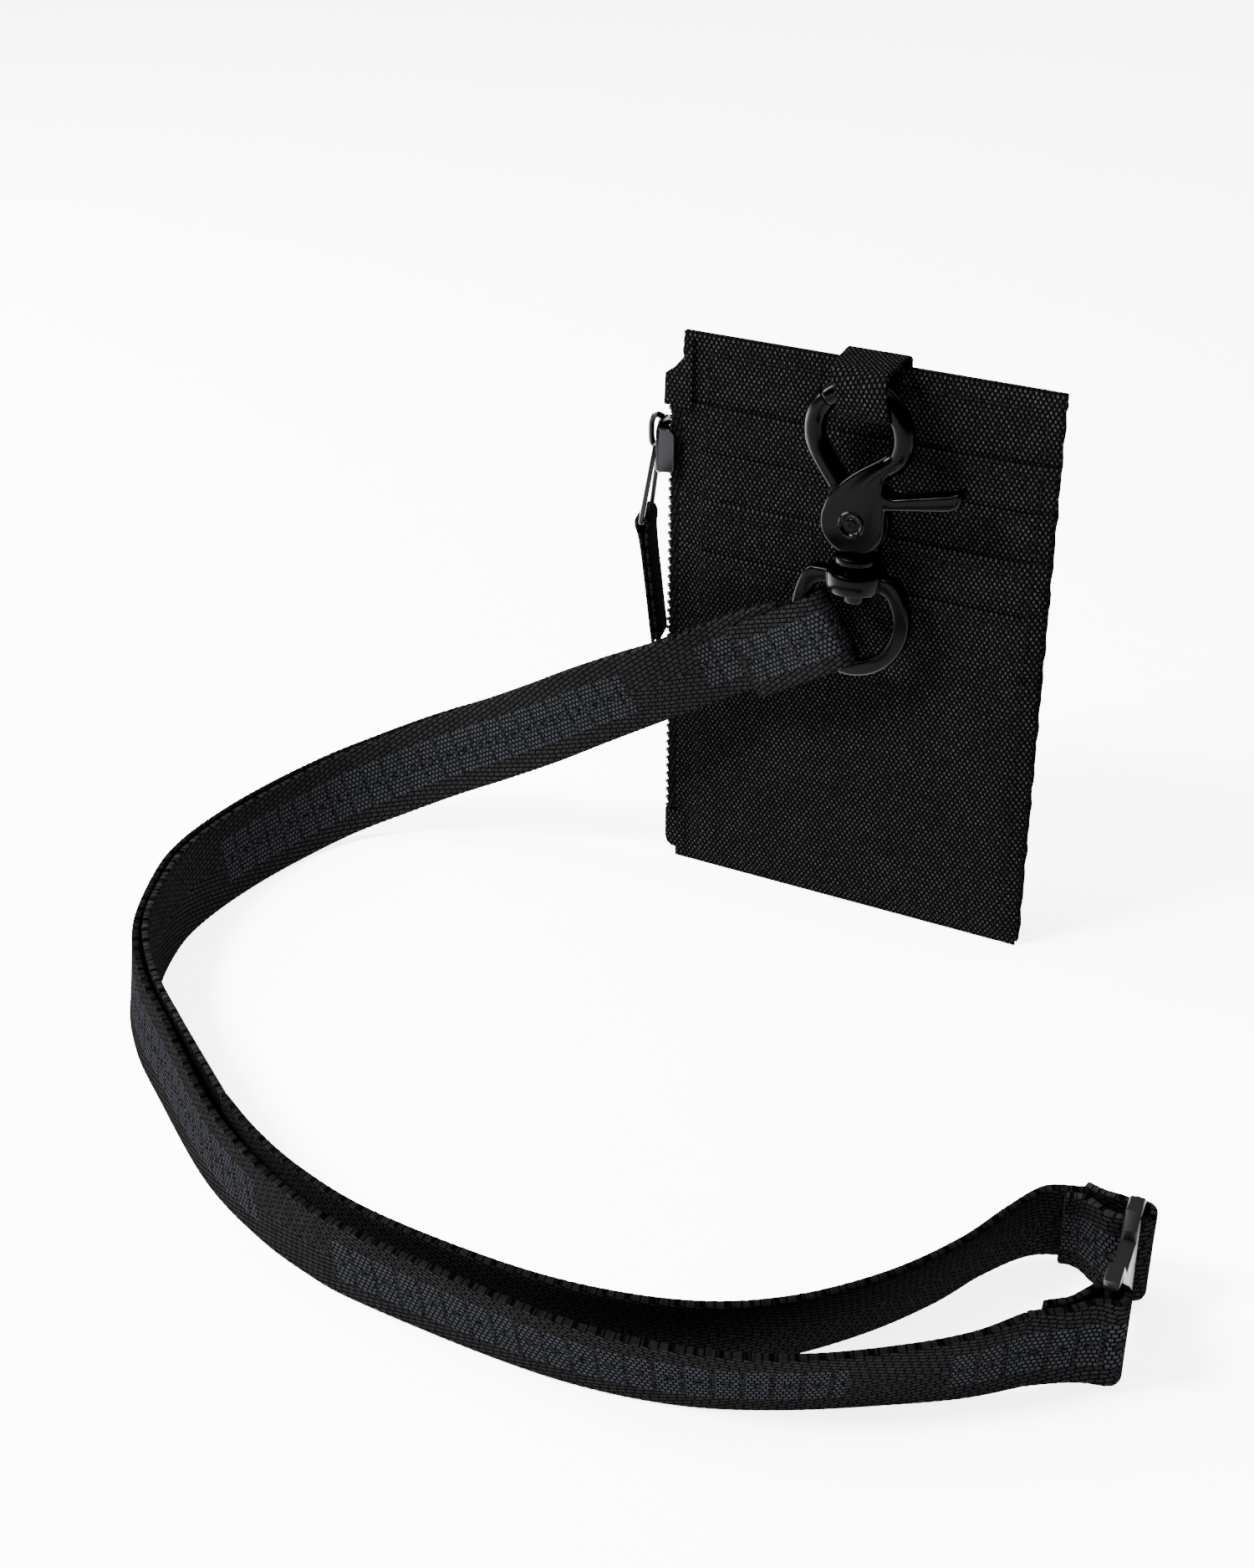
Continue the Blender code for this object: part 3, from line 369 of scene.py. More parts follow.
def makeStrip(name, places, sides, widths, thick, mats, body, replaced=(), across=10, stretches=(), start=0.0,
              bump=0.0, bow=0.0, soften=0.5):
    # a flat grid laid along the places, then given its thickness with rounded edges
    rows = len(places)
    lines = tangentsOf(places)
    along = [start]
    for a, b in zip(places, places[1:]):
        along.append(along[-1] + (b - a).length)
    bm = bmesh.new()
    bmesh.ops.create_grid(bm, x_segments=across, y_segments=rows - 1, size=0.5)
    flag = bm.verts.layers.float.new("motif")
    uv = bm.loops.layers.uv.new("weave")
    flat = {}
    for v in bm.verts:
        i = int(round((v.co.y + 0.5) * (rows - 1)))
        s = v.co.x
        side = (sides[i] - sides[i].dot(lines[i]) * lines[i]).normalized()
        norm = side.cross(lines[i]).normalized()
        width = widths[i]
        if abs(s) > 0.49:
            width += bump * math.sin(2 * math.pi * along[i] / strap["bumpPitch"])
        flat[v] = (s * width, along[i])
        v[flag] = 1.0 if any(a <= along[i] <= b for a, b in stretches) else 0.0
        v.co = places[i] + side * (s * width) + norm * bow * (1 - 4 * s * s)
    for face in bm.faces:
        for loop in face.loops:
            loop[uv].uv = flat[loop.vert]
    ob = finishMesh(name, bm, mats, body, replaced, sharp=0)
    addModifier(ob, "SOLIDIFY", thickness=thick * mm, offset=0.0, material_offset=len(mats) - 1)
    addModifier(ob, "BEVEL", width=min(soften, thick * 0.4) * mm, segments=2, limit_method="ANGLE",
                angle_limit=math.radians(55))
    return ob, along


def leanRows(route):
    # the lower edge's route becomes a middle line and an upward direction for each step
    rows = smoothRoute(route, strap["step"])
    lines = tangentsOf([Vector(r[:3]) for r in rows])
    places, sides, widths = [], [], []
    for row, line in zip(rows, lines):
        up = Vector((0, 0, 1))
        level = (up - up.dot(line) * line).normalized()
        inward = up.cross(line).normalized()
        lean = math.radians(row[3])
        side = (math.cos(lean) * level - math.sin(lean) * inward).normalized()
        low = math.sin(abs(lean)) * strap["thick"] / 2
        places.append(Vector((row[0], row[1], row[2] + low)) + side * row[4] / 2)
        sides.append(side)
        widths.append(row[4])
    return places, sides, widths


def strand(name, route, mats, node, start, stretches):
    places, sides, widths = leanRows(route)
    ob, along = makeStrip(name, places, sides, widths, strap["thick"], mats, None, (node,), strap["across"],
                          stretches, start, strap["bump"], strap["bow"])
    return ob, places, along[-1] - start


innerRear, innerRearLine, innerRearLength = strand(
    "strapInnerRear", routeInner, [webFace, webBack], "strap_inner_rear", 0.0, [(8, 27), (48, 188)])
innerFront, innerFrontLine, innerFrontLength = strand(
    "strapInnerFront", routeInnerFront, [webBack, webFace], "strap_inner_front", strap["frontStart"], [])
outer, outerLine, outerLength = strand(
    "strapOuter", routeOuter, [webBack, webFace], "strap_outer", 0.0,
    [(100, 205), (234, 339), (365, 475), (496, 560)])
print("strands", round(innerRearLength), round(innerFrontLength), round(outerLength))


def layCord(ob, line, length, bodyA, bodyB, start, end):
    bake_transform(ob)


# a slanting span between the eye and the pouch, handed to layCord, which only bakes each strand's transform
eyeSpan = {"start": (-20.0, -10.0, 66.0), "end": (-43.8, -54.2, 18.4)}
layCord(innerRear, innerRearLine, 0.313, "eye", "pouch", **eyeSpan)
layCord(outer, outerLine, 0.512, "eye", "pouch", **eyeSpan)
layCord(innerFront, innerFrontLine, 0.217, "pouch", "clasp_male", (40.0, -180.0, 11.0), (100.0, -114.0, 13.0))

# turned ends
fold = {"towards": Vector((-0.850, 0, -0.527)), "wide": Vector((0.527, 0, -0.850)),
        "corner": Vector((-1.0, -12.0, 83.9)), "width": 20.0,
        "legs": ((29.0, -2.15), (22.0, -2.2), (16.0, -2.6), (12.0, -3.1), (7.0, -3.3), (3.0, -3.1),
                 (1.4, -2.1), (0.9, 0.0), (1.4, 2.1), (3.0, 3.0), (7.0, 3.1), (11.5, 2.9), (14.5, 2.5),
                 (16.6, 2.3))}
foldLine = [Vector(p[:3]) for p in smoothRoute(
    [tuple(fold["corner"] + fold["towards"] * t + Vector((0, y, 0))) for t, y in fold["legs"]], 0.8)]
makeStrip("strapEndFold", foldLine, [-fold["wide"]] * len(foldLine), [fold["width"]] * len(foldLine),
          strap["thick"], [webBack, webFace], "eye", ("strap_end_fold",), 10, [(2, 60)], 0.0, strap["bump"])

clasp = {"along": Vector((0.124, -0.992, 0)).normalized(), "out": Vector((0.992, 0.124, 0)).normalized(),
         "rearBar": Vector((114.0, -119.0, 13.0)), "gap": 26.7, "thick": 3.4, "barRadius": 1.2, "slot": 3.2,
         "bodyHalf": 7.5, "loopHalf": 12.9, "slotHalf": 11.4}
frontBar = clasp["rearBar"] + clasp["along"] * clasp["gap"]


def claspEnd(name, bar, turns, body, node, mats, lean, stretches):
    # the strip leans with its strand where it starts and stands upright round the bar
    line = [Vector(p[:3]) for p in smoothRoute(
        [tuple(bar + clasp["along"] * u + clasp["out"] * v) for v, u in turns], 0.8)]
    sides, places = [], []
    for i, point in enumerate(line):
        a = math.radians(3 + (lean - 3) * blendSteps(0, 9, -(point - bar).dot(clasp["out"])))
        side = Vector((0.47 * math.sin(a), -0.88 * math.sin(a), math.cos(a)))
        sides.append(side)
        places.append(point - Vector((0, 0, 11.0)) + side * 11.0)
    return makeStrip(name, places, sides, [strap["width"]] * len(line), strap["thick"], mats, body,
                     (node,), 10, stretches, 0.0, strap["bump"])


claspEnd("rearTurnedEnd", clasp["rearBar"], (
    (-11.4, -8.2), (-9.7, -7.5), (-8.0, -6.7), (-5.0, -4.9), (-2.4, -3.4), (0.0, -2.9), (1.8, -2.5),
    (2.8, -1.6), (3.1, 0.0), (2.8, 1.5), (1.8, 2.4), (0.2, 2.75), (-2.4, 2.6), (-5.0, 1.2), (-8.0, -1.4),
    (-10.6, -3.4), (-13.0, -4.2),
    (-15.8, -3.8)), "clasp_male", "rear_end_fold", [webFace, webBack], 13.0, [(22, 37)])
claspEnd("frontTurnedEnd", frontBar, (
    (-15.2, 9.2), (-13.2, 8.1), (-9.5, 6.0), (-6.0, 4.3), (-2.4, 3.2), (0.0, 2.9), (1.8, 2.5), (2.8, 1.6),
    (3.1, 0.0), (2.8, -1.5), (1.8, -2.4), (0.2, -2.75), (-2.4, -2.6), (-5.0, -0.7), (-8.0, 2.0),
    (-10.6, 3.7), (-13.0, 5.2)),
    "pouch", "front_end_fold", [webBack, webFace], 10.0, [(0, 100)])
print("strap laid")


# outlines pushed through and rounded: the hook, the clasp and the slider use this

def pushThrough(bm, outline, place, depth, rounding, segments=3):
    # outline is a list of flat points; place turns (a, b, d) into a position; depth is (front, back)
    verts = [bm.verts.new(place(a, b, depth[0])) for a, b in outline]
    face = bm.faces.new(verts)
    out = bmesh.ops.extrude_face_region(bm, geom=[face])
    moved = [g for g in out["geom"] if isinstance(g, bmesh.types.BMVert)]
    shift = place(0, 0, depth[1]) - place(0, 0, depth[0])
    bmesh.ops.translate(bm, vec=shift, verts=moved)
    whole = set(verts) | set(moved)
    faces = [f for f in bm.faces if all(v in whole for v in f.verts)]
    bmesh.ops.recalc_face_normals(bm, faces=faces)
    front, back = set(verts), set(moved)
    rims = []
    for e in bm.edges:
        a, b = e.verts
        if (a in front and b in front) or (a in back and b in back):
            rims.append(e)
    if rounding:
        bmesh.ops.bevel(bm, geom=rims, offset=rounding, segments=segments, profile=0.5, affect="EDGES",
                        material=-1,
                        clamp_overlap=True)
    return moved


def arc(centre, radius, start, stop, steps):
    out = []
    for i in range(steps + 1):
        a = math.radians(start + (stop - start) * i / steps)
        out.append((centre[0] + radius * math.cos(a), centre[1] + radius * math.sin(a)))
    return out


def upright(a, b, d):
    return Vector((a, d, b))


def wireTube(bm, line, radius, plane, sides=16, closed=False, flat=1.0):
    # a circle swept along a line that lies in one plane
    lines = tangentsOf(line)
    if closed:
        lines = [(line[(i + 1) % len(line)] - line[i - 1]).normalized() for i in range(len(line))]
    rings = []
    for point, t in zip(line, lines):
        side = plane.cross(t).normalized()
        turn = Matrix((side, plane, t)).transposed().to_4x4()
        squash = Matrix.Diagonal((1, flat, 1, 1))
        made = bmesh.ops.create_circle(bm, segments=sides, radius=radius,
                                       matrix=Matrix.Translation(point) @ turn @ squash)
        rings.append(made["verts"])
    spans = list(zip(rings, rings[1:])) + ([(rings[-1], rings[0])] if closed else [])
    for low, high in spans:
        for k in range(sides):
            m = (k + 1) % sides
            bm.faces.new((low[k], low[m], high[m], high[k]))
    if not closed:
        bm.faces.new(list(reversed(rings[0])))
        bm.faces.new(rings[-1])
    return rings


hook = {"middle": -12.0, "rivet": (1.6, 111.5), "disc": (1.5, 111.5), "discRadius": 8.2,
        "ringCentre": (1.5, 133.5), "ringWide": 11.3, "ringTall": 11.0, "bar": 2.75,
        "frontPlate": (-14.8, -12.1), "backPlate": (-11.7, -8.7),
        "postX": 2.4, "collarZ": (94.7, 99.7), "flangeZ": (101.3, 103.4), "headZ": (91.2, 94.9)}


def ringPoints(start, stop, steps):
    out = []
    for i in range(steps + 1):
        a = math.radians(start + (stop - start) * i / steps)
        out.append(Vector((hook["ringCentre"][0] + hook["ringWide"] * math.cos(a), hook["middle"],
                           hook["ringCentre"][1] + hook["ringTall"] * math.sin(a))))
    return out


def turned(bm, profile, x, y, steps=48):
    # a half section spun about an upright axis; profile is (radius, z)
    verts = [bm.verts.new((x + r, y, z)) for r, z in profile]
    edges = [bm.edges.new(pair) for pair in zip(verts, verts[1:])]
    bmesh.ops.spin(bm, geom=verts + edges, cent=(x, y, 0), axis=(0, 0, 1), angle=2 * math.pi, steps=steps,
                   use_merge=True)
    bmesh.ops.remove_doubles(bm, verts=bm.verts, dist=0.0005)


def turnedAcross(bm, profile, x, z, steps=40):
    # the same about an axis along Y; profile is (radius, y)
    verts = [bm.verts.new((x + r, y, z)) for r, y in profile]
    edges = [bm.edges.new(pair) for pair in zip(verts, verts[1:])]
    bmesh.ops.spin(bm, geom=verts + edges, cent=(x, 0, z), axis=(0, 1, 0), angle=2 * math.pi, steps=steps,
                   use_merge=True)
    bmesh.ops.remove_doubles(bm, verts=bm.verts, dist=0.0005)


across = Vector((0, 1, 0))
# fixed jaw: a round bar cut square where the trigger passes, on a plate, a neck and a turned post
bm = bmesh.new()
wireTube(bm, ringPoints(137, 215, 30) + [Vector((a, hook["middle"], b)) for a, b in (
    (-7.1, 126.2), (-6.3, 125.0), (-5.3, 123.6), (-4.3, 122.2), (-3.3, 120.8))], hook["bar"], across, 24)
plateArc = arc(hook["disc"], 8.3, 150, 390, 40)
pushThrough(bm, plateArc + [(4.0, 118.8), (1.0, 120.4), (-2.0, 120.8), (-4.4, 120.2), (-5.6, 118.6),
                            (-6.2, 117.4)],
            upright, hook["backPlate"], 0.5, 2)
pushThrough(bm, [(-2.6, 102.0), (7.4, 102.0), (7.4, 107.0), (-2.6, 107.0)], upright, (-11.6, -8.8), 0.3, 2)
hz, fz = hook["headZ"], hook["flangeZ"]
turned(bm, [(0, hz[0]), (2.8, hz[0]), (3.2, hz[0] + 0.2), (3.4, hz[0] + 0.6), (3.4, hz[1] - 0.1),
            (3.0, hz[1]), (3.0, fz[0]), (4.8, fz[0]), (5.3, fz[0] + 0.2), (5.5, fz[0] + 0.6),
            (5.5, fz[1] - 0.6), (5.3, fz[1] - 0.2), (4.8, fz[1]),
            (0, fz[1])], hook["postX"], hook["middle"])
bmesh.ops.recalc_face_normals(bm, faces=bm.faces)
finishMesh("hookFrame", bm, [satinHook], "pouch", ("hook_frame",))

# trigger: a round arm with a ball nose over the ring's top, an S into the plate, and the thumb lever
bm = bmesh.new()
armLine = ringPoints(131, -22, 60) + [Vector((a, hook["middle"], b)) for a, b in (
    (11.2, 128.4), (9.9, 127.3), (8.4, 126.1), (6.9, 124.8), (5.4, 123.3), (4.2, 121.5), (3.3, 119.5),
    (2.7, 117.5))]
wireTube(bm, armLine, hook["bar"], across, 24)
bmesh.ops.create_uvsphere(bm, u_segments=24, v_segments=14, radius=hook["bar"] * 0.99,
                          matrix=Matrix.Translation(armLine[0]))
armVerts = set(bm.verts)
face = [(14.3, 131.6), (14.2, 130.2), (13.5, 128.5), (12.2, 127.0), (10.6, 125.8), (9.5, 124.4), (8.9, 122.8),
        (8.9, 121.0), (9.6, 119.2), (9.9, 117.2), (9.7, 114.6)]
face += arc(hook["disc"], hook["discRadius"], 10, -203, 46)
face += [(-5.3, 116.9), (-4.2, 118.7), (-2.7, 120.6), (-0.9, 122.5), (1.2, 124.4), (3.3, 126.0), (5.4, 127.5),
         (7.4, 128.9), (8.9, 130.2), (9.9, 131.6), (11.2, 132.6), (13.0, 132.5)]
pushThrough(bm, face, upright, hook["frontPlate"], 1.0, 4)
for v in bm.verts:
    if v.co.z > 126.5 and v not in armVerts:
        v.co.y += 2.4 * blendSteps(126.5, 132.6, v.co.z)
lever = [(8.6, 116.2), (10.6, 116.6), (15.0, 117.4), (20.0, 118.3), (24.0, 119.0), (26.3, 119.6),
         (27.8, 120.7), (28.3, 122.2), (28.2, 123.6), (27.6, 124.2), (26.9, 123.9), (26.0, 123.3),
         (22.0, 122.4), (18.0, 121.4), (15.0, 120.7), (11.8, 119.9), (9.8, 120.2), (8.4, 121.6)]
pushThrough(bm, lever, upright, (-14.7, -9.3), 0.7, 3)
bmesh.ops.recalc_face_normals(bm, faces=bm.faces)
finishMesh("hookTrigger", bm, [satinHook], "trigger", ("trigger",))

# rivet: a shallow ring round a sunk head, with a small punch mark in its middle
bm = bmesh.new()
rx, rz = hook["rivet"]
turnedAcross(bm, [(0, -14.5), (0.35, -14.5), (0.6, -14.95), (1.1, -15.0), (1.45, -14.85), (1.7, -14.55),
                  (2.0, -14.6), (2.3, -15.0), (2.7, -15.25), (3.1, -15.2), (3.4, -14.9), (3.5, -14.6),
                  (1.1, -14.4), (1.1, -8.5), (3.0, -8.4), (3.0, -8.05), (2.6, -7.8), (0, -7.8)], rx, rz)
bmesh.ops.recalc_face_normals(bm, faces=bm.faces)
finishMesh("hookRivet", bm, [satinHook], "pouch", ("hook_rivet",))

# swivel eye: collar with flat shoulders running into a D of flat-faced bar
bm = bmesh.new()
cz = hook["collarZ"]
turned(bm, [(3.4, cz[0] + 0.3), (3.7, cz[0]), (6.9, cz[0]), (7.3, cz[0] + 0.2), (7.5, cz[0] + 0.7),
            (7.5, cz[1] - 0.8), (7.3, cz[1] - 0.25), (6.8, cz[1]), (3.8, cz[1]), (3.4, cz[1] - 0.3),
            (3.4, cz[0] + 0.3)], hook["postX"], hook["middle"])
dOut = [(8.6, 98.9), (10.6, 98.9), (12.4, 98.6), (13.9, 97.2), (15.2, 94.9), (16.4, 91.6), (17.0, 88.0),
        (16.7, 84.2), (15.3, 80.2), (12.7, 76.4), (9.4, 73.6), (5.6, 71.9), (1.7, 71.3), (-2.2, 71.9),
        (-6.0, 73.6), (-9.3, 76.4), (-11.9, 80.2), (-13.3, 84.2), (-13.6, 88.0), (-13.0, 91.6),
        (-11.9, 94.9), (-10.6, 97.2), (-9.2, 98.4), (-7.4, 98.7), (-3.8, 98.7)]
dIn = [(-3.8, 94.6), (-6.2, 94.5), (-7.7, 93.2), (-8.8, 91.0), (-9.6, 87.8), (-9.3, 84.6), (-8.1, 81.6),
       (-5.9, 78.7), (-2.6, 76.3), (1.7, 75.4), (6.0, 76.3), (9.3, 78.7), (11.5, 81.6), (12.7, 84.6),
       (13.0, 87.8), (12.4, 90.8), (11.4, 93.1), (10.3, 94.3), (8.6, 94.6)]
dOut = [(p[0], p[2]) for p in smoothRoute([(a, 0, b) for a, b in dOut], 1.0)]
dIn = [(p[0], p[2]) for p in smoothRoute([(a, 0, b) for a, b in dIn], 1.0)]
pushThrough(bm, dOut + dIn, upright, (-14.0, -10.1), 1.25, 4)
bmesh.ops.recalc_face_normals(bm, faces=bm.faces)
finishMesh("swivelEye", bm, [satinHook], "eye", ("swivel_eye",), sharp=40)
nodes["trigger_spring"].data.materials.clear()
nodes["trigger_spring"].data.materials.append(springWire)
print("hook built")

# clasp

def onEdge(u, h, v):
    return clasp["rearBar"] + clasp["along"] * u + clasp["out"] * v + Vector((0, 0, h))


halfThick, barR = clasp["thick"] / 2, clasp["barRadius"]
slotEnd = barR + clasp["slot"]
loopH, slotH, bodyH = clasp["loopHalf"], clasp["slotHalf"], clasp["bodyHalf"]
bm = bmesh.new()
barLine = [onEdge(0, h, 0) for h in (-loopH + 0.4, -6, 0, 6, loopH - 0.4)]
wireTube(bm, barLine, barR, clasp["along"], 16)
for sign in (-1, 1):
    cheek = [(-1.2, sign * slotH), (-1.2, sign * (loopH - 0.7)), (-0.5, sign * loopH),
             (slotEnd, sign * loopH), (slotEnd + 2.5, sign * 9.6), (slotEnd + 2.5, 0), (slotEnd, 0),
             (slotEnd, sign * slotH)]
    pushThrough(bm, cheek, onEdge, (-halfThick, halfThick), 0.55, 3)
pushThrough(bm, [(slotEnd + 1.0, -5.7), (slotEnd + 11.0, -5.7), (slotEnd + 12.5, -4.4), (slotEnd + 12.5, 4.4),
                 (slotEnd + 11.0, 5.7), (slotEnd + 1.0, 5.7)], onEdge, (-0.6, 0.6), 0.2, 2)
bmesh.ops.recalc_face_normals(bm, faces=bm.faces)
finishMesh("claspMale", bm, [claspPlastic], "clasp_male", ("clasp_male",))

far = clasp["gap"]
sleeveStart, sleeveEnd = slotEnd + 2.8, far - slotEnd
bm = bmesh.new()
wireTube(bm, [onEdge(far, h, 0) for h in (-loopH + 0.4, -6, 0, 6, loopH - 0.4)], barR, clasp["along"], 16)
for sign in (-1, 1):
    cheek = [(far + 1.2, sign * slotH), (far + 1.2, sign * (loopH - 0.7)), (far + 0.5, sign * loopH),
             (sleeveEnd - 0.6, sign * loopH), (sleeveEnd - 5.0, sign * bodyH), (sleeveStart, sign * bodyH),
             (sleeveStart, sign * 6.1), (sleeveEnd - 2.6, sign * 6.1), (sleeveEnd - 2.6, 0), (sleeveEnd, 0),
             (sleeveEnd, sign * slotH)]
    pushThrough(bm, cheek, onEdge, (-halfThick, halfThick), 0.5, 3)
for low, high in ((-halfThick, -0.95), (0.95, halfThick)):
    pushThrough(bm, [(sleeveStart, -7.2), (sleeveEnd - 1.5, -7.2), (sleeveEnd - 1.5, 7.2),
                     (sleeveStart, 7.2)],
                onEdge, (low, high), 0.2, 2)
bmesh.ops.recalc_face_normals(bm, faces=bm.faces)
finishMesh("claspFemale", bm, [claspPlastic], "pouch", ("clasp_female",))
print("clasp built")

# pouch

pouch = {"halfWidth": 47.0, "zipReach": 3.3, "height": 147.0, "middle": -0.7, "seamShare": 0.56,
         "ease": 5.5, "belly": 0.35, "cloth": 0.36, "hem": 4.4, "flatWide": 97.3, "loopThick": 1.2,
         "shortTop": 146.0, "columns": 84, "rowPitch": 2.2, "stitchIn": 3.7, "stitchDown": 3.5}
panels = (  # name, node, rest y, low z, high z, folds over at the top
    ("backPanel", "back_panel", 1.9, 0.0, 147.0, 1), ("pouchLining", "pouch_lining", 0.0, 0.0, 146.0, 0),
    ("headerPanel", "header_panel", -0.8, 100.0, 147.0, -1),
    ("cardSlotOne", "slot_panel_1", -1.5, 70.0, 129.5, -1),
    ("cardSlotTwo", "slot_panel_2", -2.2, 58.0, 117.4, -1),
    ("cardSlotThree", "slot_panel_3", -2.9, 46.0, 105.2, -1),
    ("cardSlotFour", "slot_panel_4", -3.6, 0.0, 91.5, -1))


def clothDepth(x, z, rest, top):
    # y of a panel's cloth: pinched at the seams, bellied between, open a little at its mouth
    side = blendSteps(0, pouch["ease"], pouch["halfWidth"] - abs(x))
    foot = blendSteps(0, pouch["ease"], z)
    head = blendSteps(0, pouch["ease"], pouch["height"] - z)
    loose = side * foot * head
    share = pouch["seamShare"] + (1 - pouch["seamShare"]) * loose
    y = pouch["middle"] + (rest - pouch["middle"]) * share
    y -= pouch["belly"] * loose * math.sin(math.pi * z / pouch["height"]) * (1 if rest < 0.5 else -0.8)
    y += loose * (0.10 * math.sin(0.17 * x + 0.11 * z) + 0.06 * math.sin(0.41 * x - 0.29 * z + 1.3))
    if top < pouch["shortTop"]:
        fade = math.exp(-max(0.0, top - z) / 5.0)
        y -= 0.45 * fade * side
        y += 0.10 * side * math.exp(-((top - pouch["stitchDown"] - z) / 0.8) ** 2)
    seamX = pouch["halfWidth"] - pouch["stitchIn"]
    for edge in (-1, 1):
        y += 0.10 * (1 if rest < 0.5 else -1) * math.exp(-((x - edge * seamX) / 0.9) ** 2)
    return y


for name, node, rest, low, high, turn in panels:
    # rows of the cloth: its height and how far behind the face it is, the last ones turned over as the hem
    rowList = []
    z = low
    while z < high - 6:
        rowList.append((z, 0.0))
        z += pouch["rowPitch"]
    for back in (6, 5.2, 4.6, 4.2, 3.9, 3.6, 3.3, 3.0, 2.5, 1.8, 1.0, 0.4):
        rowList.append((high - back, 0.0))
    rowList.append((high - 0.1, 0.03))
    if turn:
        rowList += [(high, 0.2), (high - 0.1, 0.37), (high - 0.6, 0.40), (high - 2.2, 0.40),
                    (high - 4.4, 0.38)]
    bm = bmesh.new()
    bmesh.ops.create_grid(bm, x_segments=pouch["columns"], y_segments=len(rowList) - 1, size=0.5)
    uv = bm.loops.layers.uv.new("weave")
    flat = {}
    for v in bm.verts:
        i = int(round((v.co.y + 0.5) * (len(rowList) - 1)))
        z, behind = rowList[i]
        s = v.co.x * 2
        x = pouch["halfWidth"] * (s - 0.10 * math.sin(math.pi * s) / math.pi)
        wander = 0.14 * math.sin(0.9 * z + 5 * rest) + 0.12 * math.sin(2.3 * z + 2 * rest)
        x += wander * blendSteps(0.9, 1.0, abs(s))
        x -= pouch["zipReach"] * blendSteps(0.8, 1.0, -s)
        y = clothDepth(x, z, rest, high) + behind * (1 if turn <= 0 else -1)
        sag = 0.0
        if high < pouch["shortTop"]:
            sag = 0.35 * math.sin(math.pi * (x + pouch["halfWidth"]) / (2 * pouch["halfWidth"]))
        flat[v] = (x + 3 * rest, (z if behind < 0.1 else 2 * high - z) + 5 * rest)
        v.co = Vector((x, y, z - sag * blendSteps(high - 25, high, z)))
    for face in bm.faces:
        for loop in face.loops:
            loop[uv].uv = flat[loop.vert]
    ob = finishMesh(name, bm, [oxford], "pouch", (node,), sharp=0)
    addModifier(ob, "SOLIDIFY", thickness=pouch["cloth"] * mm, offset=0.0)
print("pouch panels made")


def addStitch(bm, a, b, radius=0.24):
    # one short loop of thread or coil lying along the cloth
    line = b - a
    turn = line.to_track_quat("X", "Z").to_matrix().to_4x4()
    size = Matrix.Diagonal((line.length / 2, radius, radius, 1))
    bmesh.ops.create_uvsphere(bm, u_segments=7, v_segments=5, radius=1.0,
                              matrix=Matrix.Translation((a + b) / 2) @ turn @ size)


def stitchRun(bm, start, end, depth, pitch=3.1, length=2.2):
    # stitches from start to end in (x, z); depth gives y of the cloth's face
    total = math.dist(start, end)
    count = int(total / pitch)
    for i in range(count):
        f0 = (i * pitch + 0.4) / total
        f1 = f0 + length / total
        points = []
        for f in (f0, f1):
            x, z = start[0] + (end[0] - start[0]) * f, start[1] + (end[1] - start[1]) * f
            points.append(Vector((x, depth(x, z), z)))
        addStitch(bm, points[0], points[1])


bm = bmesh.new()
faceOut = 0.5 * pouch["cloth"] + 0.10
fronts = [(p[2], p[3], p[4]) for p in panels if p[2] < -0.5]


def frontOf(x, z):
    # the foremost cloth at this height
    best = 0.0
    for rest, low, high in fronts:
        if low <= z <= high - 0.3:
            best = min(best, clothDepth(x, z, rest, high))
    return best - faceOut


edgeX = pouch["halfWidth"] - pouch["stitchIn"]
for rest, low, high in fronts:
    z = high - (pouch["stitchDown"] if high < pouch["shortTop"] else 4.6)
    stitchRun(bm, (-edgeX, z), (edgeX, z), lambda x, z, r=rest, h=high: clothDepth(x, z, r, h) - faceOut)
for sign in (-1, 1):
    stitchRun(bm, (sign * edgeX, 4.0), (sign * edgeX, 142.4), frontOf)
stitchRun(bm, (-edgeX, 3.8), (edgeX, 3.8), frontOf)
finishMesh("topStitching", bm, [thread], "pouch", sharp=0)



def backFace(x, z):
    return clothDepth(x, z, panels[0][2], pouch["height"]) + faceOut


bm = bmesh.new()
for sign in (-1, 1):
    stitchRun(bm, (sign * edgeX, 4.0), (sign * edgeX, 142.4), backFace)
stitchRun(bm, (-edgeX, 3.8), (edgeX, 3.8), backFace)
stitchRun(bm, (-edgeX, 142.4), (edgeX, 142.4), backFace)
finishMesh("backStitching", bm, [thread], "pouch", sharp=0)

# fabric loop over the top edge and round the hook
loopRows = smoothRoute(
    [(0.4, 3.2, 128.0, 15.0), (0.4, 3.2, 140.0, 15.0), (0.2, 3.25, 145.6, 15.4), (0.1, 3.1, 147.3, 15.8),
     (0.1, 2.2, 148.4, 16.0), (0.2, 0.5, 149.0, 16.0), (0.6, -4.0, 149.1, 15.6), (1.3, -9.5, 149.3, 15.0),
     (1.9, -13.4, 148.9, 14.2), (2.6, -15.6, 147.2, 13.4), (3.1, -16.1, 144.4, 13.0),
     (3.4, -15.7, 141.0, 13.0), (3.5, -14.6, 138.8, 13.2), (3.5, -12.4, 137.9, 13.2),
     (3.3, -10.0, 138.5, 13.2), (3.0, -8.6, 140.4, 13.2), (2.6, -7.4, 143.0, 13.4),
     (2.2, -4.8, 145.0, 13.8), (2.0, -2.6, 145.8, 14.0)], 0.8)
loopLine = [Vector(p[:3]) for p in loopRows]
